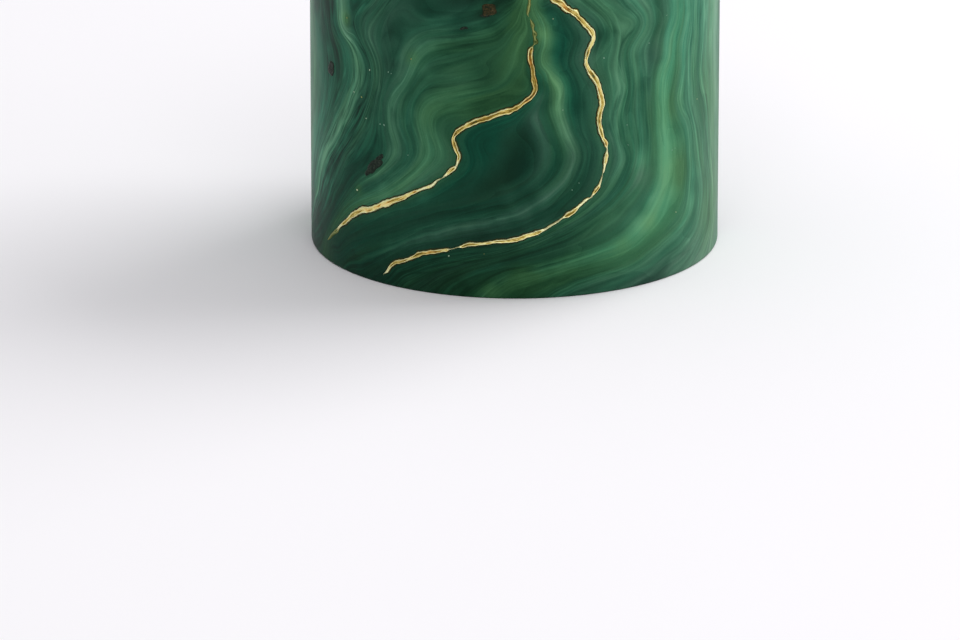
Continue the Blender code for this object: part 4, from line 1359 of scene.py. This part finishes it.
@dataclass
class CakeBody:
    """The drum under its marbled skin, with finer cells on the front and low on the wall."""

    skin: Skin
    front_bearing: float = 102.0
    front_step: float = 0.74
    back_step: float = 1.22
    low_climb: float = 122.0
    low_step: float = 1.03
    high_step: float = 1.45
    top_step: float = 1.9
    edge_rows: int = 5
    tuck_rows: int = 3
    base_rows: int = 4

    def meridian(self) -> np.ndarray:
        """Work out the half outline, from the middle of the base round to the top's.

        It runs out under the base, round a quarter circle at the tuck, up the wall, round a
        quarter circle at the top edge and in over the top. The two middles are left out.

        Returns:
            Rows of (reach, height).
        """
        skin = self.skin
        base = skin.radius - skin.tuck
        under = np.stack([base * np.arange(1, self.base_rows) / self.base_rows,
                          np.zeros(self.base_rows - 1)], -1)
        turn = np.linspace(0.0, math.pi / 2, self.tuck_rows + 1)
        tuck = np.stack([base + skin.tuck * np.sin(turn), skin.tuck * (1 - np.cos(turn))], -1)
        low = np.arange(skin.tuck + self.low_step, self.low_climb, self.low_step)
        high = np.linspace(low[-1], skin.wall, round((skin.wall - low[-1]) / self.high_step))[1:]
        heights = np.concatenate([low, high])
        wall = np.stack([np.full(len(heights), skin.radius), heights], -1)
        turn = np.linspace(0.0, math.pi / 2, self.edge_rows + 1)[1:]
        flat = skin.radius - skin.edge_radius
        edge = np.stack([flat + skin.edge_radius * np.cos(turn),
                         skin.wall + skin.edge_radius * np.sin(turn)], -1)
        inwards = np.arange(flat - self.top_step, self.top_step / 2, -self.top_step)
        top = np.stack([inwards, np.full(len(inwards), skin.height)], -1)
        return np.vstack([under, tuck, wall, edge, top])

    def bearings(self) -> np.ndarray:
        """Space the columns once round, closer on the front.

        Returns:
            Their bearings, from the front's left limit on.
        """
        front = round(2 * self.front_bearing / self.front_step)
        behind = 360.0 - 2 * self.front_bearing
        back = round(behind / self.back_step)
        return np.concatenate([
            np.linspace(-self.front_bearing, self.front_bearing, front, endpoint=False),
            np.linspace(self.front_bearing, self.front_bearing + behind, back, endpoint=False)])

    def build(self, marbling: Marbling, material: bpy.types.Material) -> bpy.types.Object:
        """Turn the outline about the upright axis and read the marbling at every vertex.

        Args:
            marbling: how the marbling runs.
            material: the paste's finish.

        Returns:
            The body.
        """
        outline = self.meridian()
        turn = np.radians(self.bearings())
        reach, height = outline[:, :1], outline[:, 1:]
        rings = np.stack([reach * np.sin(turn), -reach * np.cos(turn),
                          np.broadcast_to(height, (len(outline), len(turn)))], -1)
        poles = np.array([[0.0, 0.0, 0.0], [0.0, 0.0, self.skin.height]])
        vertices = np.vstack([rings.reshape(-1, 3), poles])
        faces = tube_faces(len(outline), len(turn))
        return make_piece("marbled_body", vertices, faces, Slot.PASTE, material,
                          **marbling.at(vertices))


@dataclass
class GoldSeam:
    """A crinkled strip of leaf along a route, with a raised lip along each side.

    dull numbers the stops of the route at which the leaf has lost its shine; shine says at even
    shares of the route how much paler its painted highlight is. Along the strip everything
    wanders between two values. Lips and furrows are placed on the scale of v, from -1 at its
    left edge to 1; a lip's reach is given for the narrowest and the widest strip.
    """

    name: str
    route: tuple[Stop, ...]
    skin: Skin
    seed: int
    dull: tuple[int, ...] = ()
    shine: tuple[float, ...] = (0.0,)
    step: float = 0.34
    across_count: int = 23
    least_half: float = 0.1
    tip: float = 1.6
    kink: float = 0.10
    kink_length: float = 1.6
    proud: float = 0.22
    lip: float = 0.50
    lip_place: float = 0.70
    lip_reaches: Pair = (0.74, 0.24)
    furrow: float = 0.4
    furrow_place: float = 0.22
    furrow_reach: float = 0.17
    crinkle: float = 0.20
    root: float = 0.35
    skirt: float = 0.38
    skirt_rise: float = 0.03
    dip: float = 0.45
    dip_width: float = 0.3
    film_shade: float = 0.15
    flat_highlight: float = 0.36
    lip_highlight: float = 0.60
    crinkle_highlight: float = 0.50
    narrow_highlight: float = 0.12
    dull_highlight: float = 0.20
    widening: Wander = Wander(1.7, 0.80, 1.12)
    ragged: Wander = Wander(0.8, -0.125, 0.125)
    lip_shift: Wander = Wander(3.0, -0.13, 0.13)
    lip_height: Wander = Wander(2.2, 0.65, 1.25)
    furrow_shift: Wander = Wander(2.6, -0.3, 0.3)
    furrow_depth: Wander = Wander(2.8, -0.7, 1.7)
    glint: Wander = Wander(4.2, -0.175, 0.175)
    skirt_widening: Wander = Wander(1.1, 0.6, 1.4)

    def build(self, material: bpy.types.Material) -> bpy.types.Object:
        """Carry the strip's section along the route.

        The underside lies inside the skin, so the strip is a closed tube, with a narrow skirt
        on the skin along each edge, dark like the face's rim; that dark is partly painted shadow
        beside the raised strip. Where the route's width nears nothing the strip dips under the
        skin, which breaks the seam.

        Args:
            material: the leaf's finish.

        Returns:
            The seam.
        """
        rng = np.random.default_rng(self.seed)
        path = self.path()
        width, dull = path[:, 2:3], path[:, 3:4]
        centre, normal, _, _ = self.skin.frames(path[:, 0], path[:, 1])
        side = np.cross(normal, np.gradient(centre, axis=0))
        side /= np.linalg.norm(side, axis=1, keepdims=True)
        length = (np.arange(len(path)) * self.step)[:, None]
        taper = np.sqrt(np.clip(np.minimum(length, length[::-1]) / self.tip + 0.02, 0.0, 1.0))
        half = np.clip(width / 2, self.least_half, None) * taper
        half = half * self.widening.along(rng, length)
        v = np.linspace(-1.0, 1.0, self.across_count)[None, :]
        offset = self.outline(rng, length, v, half)
        lift, fold = self.relief(rng, length, v, half)
        face = (centre[:, None] + side[:, None] * offset[..., None]
                + normal[:, None] * lift[..., None])
        skirt = side * (self.skirt * taper * self.skirt_widening.along(rng, length)
                        * np.clip(half * 1.5, 0.25, 1.0))
        left, right = face[:, 0] - skirt, face[:, -1] + skirt
        rise, sink = normal * self.skirt_rise, normal * self.root
        under = np.stack([right + rise, right - sink, left - sink, left + rise], 1)
        sunk = np.clip(1.0 - width / self.dip_width, 0.0, 1.0)
        loop = np.concatenate([face, under], 1) - (normal * sunk)[:, None] * self.dip
        tips = np.stack([loop[0].mean(0), loop[-1].mean(0)])
        share = np.linspace(0.0, 1.0, len(path))
        shine = np.interp(share, np.linspace(0.0, 1.0, len(self.shine)), self.shine)[:, None]
        fold = np.clip(fold + shine - self.dull_highlight * dull, 0.0, 1.0)
        fold = np.concatenate([fold, np.zeros((len(path), under.shape[1]))], 1)
        # The dark rim over the outer face and the skirt, partly painted shadow beside the strip.
        edge = np.broadcast_to(np.clip((np.abs(v) - 0.88) / 0.12, 0.0, 1.0), lift.shape)
        edge = np.concatenate([edge, np.ones((len(path), under.shape[1]))], 1)
        shade = np.repeat(self.film_shade * dull, loop.shape[1])
        return make_piece(self.name, np.vstack([loop.reshape(-1, 3), tips]),
                          tube_faces(*loop.shape[:2]), Slot.LEAF, material,
                          fold=np.append(fold, [0.0, 0.0]), edge=np.append(edge, [1.0, 1.0]),
                          shade=np.append(shade, [0.0, 0.0]))

    def path(self) -> np.ndarray:
        """Draw the route's curve.

        Returns:
            Rows of (bearing, climb, width, dullness) a step apart.
        """
        route = np.array(self.route, dtype=float)
        dulled = np.isin(np.arange(len(route)), self.dull)
        return smooth_path(np.column_stack([route, dulled]), self.skin, self.step)

    def outline(self, rng: np.random.Generator, length: np.ndarray, v: np.ndarray,
                half: np.ndarray) -> np.ndarray:
        """Place the face's vertices across the route.

        Each lies at its share of half the width, with ragged edges, and the whole strip goes in
        a small zigzag: straight runs between random places aside.

        Args:
            rng: the source of the draws.
            length: millimetres along the strip, as a column.
            v: the places across it, as a row.
            half: half its width along it.

        Returns:
            Millimetres aside from the route.
        """
        edges = [self.ragged.along(rng, length) for _ in range(2)]
        ragged = np.where(v < 0.0, edges[0], edges[1]) * v ** 2 * np.sign(v)
        turns = np.arange(0.0, length[-1, 0] + 2 * self.kink_length, self.kink_length)
        aside = np.interp(length[:, 0], turns, rng.uniform(-self.kink, self.kink, len(turns)))
        return (v + ragged) * half + aside[:, None]

    def relief(self, rng: np.random.Generator, length: np.ndarray, v: np.ndarray,
               half: np.ndarray) -> tuple[np.ndarray, np.ndarray]:
        """Raise the face off the skin.

        It stands off by a flat part, by two lips, each a bump round a place that wanders and
        nears the middle as the strip narrows, less two furrows between them, and by crinkles,
        all faded to the skin at the edges. Lips, raised crinkles and glints get a painted
        highlight, furrows painted shade.

        Args:
            rng: the source of the draws.
            length: millimetres along the strip, as a column.
            v: the places across it, as a row.
            half: half its width along it.

        Returns:
            How far the face stands off the skin, and its painted highlight: how pale the leaf is.
        """
        spread = np.clip((half - 0.28) / 0.45, 0.0, 1.0)
        narrow, wide = self.lip_reaches
        reach = narrow + (wide - narrow) * spread
        lips, furrows = np.zeros((2, len(length), self.across_count))
        for place in (-self.lip_place, self.lip_place):
            middle = (place + self.lip_shift.along(rng, length)) * spread
            height = self.lip_height.along(rng, length)
            lips += height * np.exp(-((v - middle) / reach) ** 2)
        for place in (-self.furrow_place, self.furrow_place):
            middle = place + self.furrow_shift.along(rng, length)
            depth = np.clip(self.furrow_depth.along(rng, length), 0.0, 1.0) * spread
            furrows += depth * np.exp(-((v - middle) / self.furrow_reach) ** 2)
        crinkles = (0.5 * Crumple(rng, 1.1, 0.7).at(length, v + 9.0)
                    + 0.5 * Crumple(rng, 0.5, 0.3).at(length, v + 9.0) - 0.5)
        glint = self.glint.along(rng, length)
        fade = np.clip((1.0 - v ** 2) * 3.4, 0.0, 1.0)
        lift = (self.proud + self.lip * (lips - self.furrow * furrows)
                + self.crinkle * crinkles) * fade * np.sqrt(np.clip(half, 0.12, 1.1))
        # Painted highlight on lips, crinkles, glints and narrow strips; painted shade in furrows.
        fold = (self.flat_highlight + self.lip_highlight * (lips - furrows) + self.crinkle_highlight * crinkles
                + glint + self.narrow_highlight * (1.0 - spread))
        return lift, fold


@dataclass(frozen=True)
class Flake:
    """One fleck of leaf: its place, its size in millimetres, its lean and how charred it is."""

    bearing: float
    climb: float
    length: float
    width: float
    lean: float
    shade: float


FLAKES = (
    Flake(-7.1, 113.0, 5.9, 4.8, 10, 0.50),
    # A char-dark fleck along the lower edge of the first: painted shadow under that fleck.
    Flake(-8.0, 110.6, 4.0, 1.2, 8, 0.95),
    Flake(-42.2, 46.4, 8.8, 4.0, 42, 0.92),
    Flake(-40.5, 49.6, 4.4, 2.0, 40, 0.95),
    Flake(-44.8, 42.9, 4.6, 2.0, 46, 0.88),
    Flake(-14.0, 105.3, 3.2, 1.2, 12, 0.95),
    Flake(-62.4, 77.7, 6.0, 5.0, 78, 0.95),
    Flake(38, 152, 3.8, 3.0, 40, 0.45),
    Flake(62, 238, 4.6, 3.4, 25, 0.30),
    Flake(104, 96, 5.2, 3.6, 65, 0.50),
    Flake(150, 118, 3.6, 2.6, 30, 0.20),
    Flake(168, 60, 4.8, 2.2, 120, 0.90),
    Flake(226, 148, 4.2, 3.2, 50, 0.55),
    Flake(243, 66, 5.4, 2.4, 75, 0.95),
    Flake(282, 126, 3.4, 2.6, 15, 0.25),
    Flake(250, 226, 4.0, 2.8, 70, 0.50),
)

# The specks on the front: bearing, climb, size in millimetres and shade.
SPOTS = (
    (-47.5, 71.4, 0.46, 0.15), (-49.6, 34.1, 0.56, -0.6), (-53.8, 100.4, 0.44, 0.15),
    (-44.2, 83, 0.44, -0.8), (-50.7, 72.4, 0.40, -0.9), (-29.7, 90.9, 0.38, 0.15),
    (-37.3, 84.1, 0.32, -1.0), (-36.3, 83.7, 0.22, -1.0), (-45.6, 63.6, 0.40, -0.9),
    (-40.3, 62.9, 0.34, -1.0),
    (-38.9, 62.9, 0.40, -1.0), (-18.4, 15.7, 0.44, -0.9), (-8.4, 17.5, 0.24, 0.3),
    (10.5, 109.2, 0.28, -0.8), (25.2, 92.2, 0.38, -1.0),
    (40, 94.8, 0.28, -1.0), (46.8, 103.8, 0.24, -1.0), (32.6, 64.6, 0.24, -1.0),
    (33, 56.7, 0.24, -1.0), (49.4, 50.1, 0.30, -1.0), (50.7, 50.5, 0.24, -1.0),
    (16, 42, 0.26, -1.0), (18, 44.5, 0.22, -1.0), (51.4, 24.9, 0.24, -0.4),
    (61.9, 65.9, 0.26, -0.4), (13.3, 73.6, 0.24, -0.9), (-30.8, 53.1, 0.26, -1.0),
)


class Scatter:
    """Many closed caps of one kind on the skin, gathered in one mesh."""

    RIM_EDGE = 0.55

    def __init__(self, skin: Skin, rings: int, corners: int) -> None:
        """Choose the caps' cells.

        Args:
            skin: the surface they lie on.
            rings: how many rings of vertices a cap has from its middle to its edge.
            corners: how many vertices a ring has.
        """
        self.skin = skin
        self.reach = np.linspace(0.0, 1.0, rings + 1)[1:, None]
        self.angle = np.arange(corners)[None, :] * (math.tau / corners)
        self.vertices: list[np.ndarray] = []
        self.faces: Faces = []
        self.fields: list[np.ndarray] = []

    def add(self, place: Flake, outline: np.ndarray, heights: np.ndarray, root: float,
            fold_highlights: np.ndarray) -> None:
        """Add one cap.

        Rings of an ellipse, each shrunk by its reach, are laid on the skin, with a last ring
        inside the skin that closes it from below. On the wall they are bent to it: they drop by
        the square of their distance aside over twice the skin's radius.

        Args:
            place: where it lies, its size and lean.
            outline: a factor on its radius at each angle.
            heights: how far its rings stand off the skin, ring by ring.
            root: how far it reaches into the skin.
            fold_highlights: the finish's painted highlight at each vertex of the rings.
        """
        x = self.reach * outline * np.cos(self.angle) * place.length / 2
        y = self.reach * outline * np.sin(self.angle) * place.width / 2
        lean = math.radians(place.lean)
        across = x * math.cos(lean) - y * math.sin(lean)
        upward = x * math.sin(lean) + y * math.cos(lean)
        across = np.vstack([across, across[-1:]])
        upward = np.vstack([upward, upward[-1:]])
        lift = np.vstack([heights, np.full((1, self.angle.shape[1]), -root)])
        middle, normal, right, up = self.skin.frames(np.array(place.bearing),
                                                     np.array(place.climb))
        flat = middle + across[..., None] * right + upward[..., None] * up
        bend = across ** 2 / (2 * self.skin.radius) * (place.climb <= self.skin.wall)
        loop = flat + normal * (lift - bend)[..., None]
        top = middle + normal * heights[0].mean()
        below = middle - normal * root
        start = sum(len(cap) for cap in self.vertices)
        rows, columns = loop.shape[:2]
        self.faces += [[corner + start for corner in face] for face in tube_faces(rows, columns)]
        self.vertices.append(np.vstack([loop.reshape(-1, 3), top, below]))
        fold = np.concatenate([fold_highlights.ravel(), np.zeros(columns), [fold_highlights.mean(), 0.0]])
        edge = np.concatenate([np.zeros((rows - 2) * columns), np.full(columns, self.RIM_EDGE),
                               np.ones(columns), [0.0, 1.0]])
        self.fields.append(np.stack([fold, edge, np.full(len(fold), place.shade)]))

    def build(self, name: str, material: bpy.types.Material) -> bpy.types.Object:
        """Make the mesh."""
        fields = dict(zip(("fold", "edge", "shade"), np.concatenate(self.fields, 1)))
        return make_piece(name, np.vstack(self.vertices), self.faces, Slot.LEAF, material,
                          **fields)


@dataclass
class LeafFlakes:
    """Ragged, crumpled flecks of leaf pressed on the skin."""

    skin: Skin
    first_seed: int = 20
    proud: float = 0.16
    crinkle: float = 0.30
    rim: float = 0.02
    root: float = 0.40
    rings: int = 9
    corners: int = 40
    ragged_points: int = 11
    least_radius: float = 0.76
    ragged: float = 0.36
    lattice_start: float = 20.0

    def build(self, material: bpy.types.Material) -> bpy.types.Object:
        """Lay the flecks.

        Each outline is a squarish oval, the curve on which the fourth powers of the two
        coordinates add up to one, with a radius that wanders between random values.

        Args:
            material: the leaf's finish.

        Returns:
            The flecks.
        """
        scatter = Scatter(self.skin, self.rings, self.corners)
        for seed, flake in enumerate(FLAKES, start=self.first_seed):
            rng = np.random.default_rng(seed)
            ragged = Crumple(rng, 1.0).heights[0, :self.ragged_points]
            outline = self.least_radius + self.ragged * np.interp(
                scatter.angle / math.tau * self.ragged_points,
                np.arange(self.ragged_points + 1), np.append(ragged, ragged[0]))
            outline /= (np.cos(scatter.angle) ** 4 + np.sin(scatter.angle) ** 4) ** 0.25
            x = scatter.reach * np.cos(scatter.angle) * flake.length + self.lattice_start
            y = scatter.reach * np.sin(scatter.angle) * flake.width + self.lattice_start
            crumples = (0.6 * Crumple(rng, 0.9, 0.9).at(x, y)
                        + 0.4 * Crumple(rng, 0.4, 0.4).at(x, y))
            fade = np.clip((1.0 - scatter.reach ** 3) * 2.5, 0.0, 1.0)
            heights = (self.proud + self.crinkle * (crumples - 0.3)) * fade + self.rim
            # Raised crumples get a painted highlight, sunken ones painted shade.
            scatter.add(flake, outline, heights, self.root, np.clip(crumples * 1.4 - 0.3, 0, 1))
        return scatter.build("leaf_flakes", material)


@dataclass
class LeafSpecks:
    """Dust of leaf: low domes a fraction of a millimetre across.

    Those on the front are listed one by one, and finer dust lies beside and above them.
    """

    skin: Skin
    seed: int = 5
    dust: int = 90
    least_dust: float = 0.10
    dust_spread: float = 0.18
    length: float = 1.9
    dust_length: float = 1.8
    width: float = 1.4
    dome: float = 0.16
    root: float = 0.1
    front_bearing: float = 85.0
    front_climb: float = 118.0
    rings: int = 2
    corners: int = 7

    def places(self) -> list[Flake]:
        """Place the specks.

        Returns:
            The specks seen from the front, then the finer dust.
        """
        rng = np.random.default_rng(self.seed)
        specks = [Flake(bearing, climb, size * self.length, size * self.width,
                        rng.uniform(0, 180), shade) for bearing, climb, size, shade in SPOTS]
        for _ in range(self.dust):
            size = self.least_dust + self.dust_spread * rng.random() ** 3
            speck = Flake(rng.uniform(-180, 180), rng.uniform(1, 250), size * self.dust_length,
                          size * self.width, rng.uniform(0, 180), rng.uniform(-1.2, -0.5))
            if abs(speck.bearing) > self.front_bearing or speck.climb > self.front_climb:
                specks.append(speck)
        return specks

    def build(self, material: bpy.types.Material) -> bpy.types.Object:
        """Lay the domes, each the upper part of a ball pressed flat.

        Args:
            material: the leaf's finish.

        Returns:
            The specks.
        """
        scatter = Scatter(self.skin, self.rings, self.corners)
        rng = np.random.default_rng(self.seed + 1)
        for speck in self.places():
            dome = np.sqrt(1.0 - (scatter.reach * 0.98) ** 2) * speck.width * self.dome
            heights = np.broadcast_to(dome, (self.rings, self.corners))
            fold_highlights = np.full((self.rings, self.corners), rng.uniform(0.5, 1.0))
            outline = rng.uniform(0.75, 1.15, (1, self.corners))
            scatter.add(speck, outline, heights, self.root, fold_highlights)
        return scatter.build("leaf_specks", material)


# ---------------------------------------------------------------------------------------------
# The studio
# ---------------------------------------------------------------------------------------------


@dataclass(frozen=True)
class Softbox:
    """A soft light: a square that faces the cake, and isn't seen by the camera."""

    name: str
    place: tuple[float, float, float]
    side: float
    power: float

    def build(self, target: tuple[float, float, float]) -> None:
        """Hang the light.

        Args:
            target: where it is turned to.
        """
        data = bpy.data.lights.new(self.name, "AREA")
        data.shape = "SQUARE"
        data.size = self.side
        data.energy = self.power
        light = bpy.data.objects.new(self.name, data)
        bpy.context.scene.collection.objects.link(light)
        light.location = self.place
        aim = np.array(target) - np.array(self.place)
        light.rotation_euler = (math.pi / 2 + math.atan2(aim[2], math.hypot(aim[0], aim[1])),
                                0.0, math.atan2(-aim[0], aim[1]))
        light.visible_camera = False


@dataclass
class Studio:
    """A plain pale floor, soft light and the camera."""

    cake_radius: float
    floor_side: float = 24.0
    floor_stops: Ramp = ((0.3, (0.92, 0.905, 0.93)), (0.7, (0.93, 0.915, 0.94)))
    floor_cloud: Grain = Grain(3.0)
    floor_roughness: float = 0.85
    floor_specular: float = 0.1
    sky: tuple[float, ...] = (0.99, 0.985, 1.0, 1.0)
    sky_strength: float = 0.60
    lens: float = 300.0
    sight: float = 60.0
    camera_pitch: float = 18.66
    camera_yaw: float = -0.26
    camera_back: float = 37.492
    camera_height: float = 12.217
    target: tuple[float, float, float] = (0.0, 0.0, 0.08)
    softboxes: tuple[Softbox, ...] = (
        Softbox("key", (1.8, 1.0, 2.0), 2.1, 52.0),
        Softbox("front", (0.2, -2.2, 2.4), 1.8, 18.0),
    )

    def build_floor(self) -> None:
        """A large flat square under the cake."""
        half = self.floor_side / 2
        mesh = bpy.data.meshes.new("floor")
        corners = [(-half, -half, 0), (half, -half, 0), (half, half, 0), (-half, half, 0)]
        mesh.from_pydata(corners, [], [(0, 1, 2, 3)])
        nodes = NodeMaker("studio_floor")
        colour = nodes.ramp(self.floor_cloud.noise(nodes) + 0.5, self.floor_stops)
        mesh.materials.append(nodes.finish(Base_Color=colour, Roughness=self.floor_roughness,
                                           Specular_IOR_Level=self.floor_specular))
        floor = bpy.data.objects.new("floor", mesh)
        bpy.context.scene.collection.objects.link(floor)

    def build_sky(self) -> None:
        """An even pale surround."""
        world = bpy.data.worlds.new("surround")
        world.use_nodes = True
        background = world.node_tree.nodes["Background"]
        background.inputs["Color"].default_value = self.sky
        background.inputs["Strength"].default_value = self.sky_strength
        bpy.context.scene.world = world

    def build_camera(self) -> None:
        """A long lens from the front, a little above the cake."""
        data = bpy.data.cameras.new("camera")
        data.lens = self.lens
        data.clip_end = self.sight
        camera = bpy.data.objects.new("camera", data)
        bpy.context.scene.collection.objects.link(camera)
        camera.location = (0.0, -self.camera_back * self.cake_radius,
                           self.camera_height * self.cake_radius)
        camera.rotation_euler = (math.pi / 2 - math.radians(self.camera_pitch), 0.0,
                                 -math.radians(self.camera_yaw))
        bpy.context.scene.camera = camera

    def build(self) -> None:
        """Set everything up."""
        self.build_floor()
        self.build_sky()
        self.build_camera()
        for softbox in self.softboxes:
            softbox.build(self.target)
        bpy.context.scene.view_settings.view_transform = "Standard"


def main() -> None:
    """Dress the cake and light it."""
    logging.basicConfig(level=logging.INFO, format="%(name)s: %(message)s")
    radius = (CAD_BOX[1].x - CAD_BOX[0].x) / 2
    skin = Skin(radius=radius / MM, height=CAKE_HEIGHT)
    Studio(cake_radius=radius).build()
    far = FarMarbling(skin)
    back = far.wall()
    strands = [*FRONT_STRANDS, *seam_strands(), *rising_strands(), *back, *far.top(back)]
    marbling = Marbling(skin, strands, BLOOMS)
    CakeBody(skin).build(marbling, MarbledPaste().material())
    leaf = GoldLeaf().material()
    for seed, (name, route) in enumerate(SEAM_ROUTES.items(), start=1):
        dull, shine = DULL_STOPS.get(name, ()), SHINES.get(name, (0.0,))
        GoldSeam(name, route, skin, seed, dull, shine).build(leaf)
    LeafFlakes(skin).build(leaf)
    LeafSpecks(skin).build(leaf)


if __name__ == "__main__":
    main()
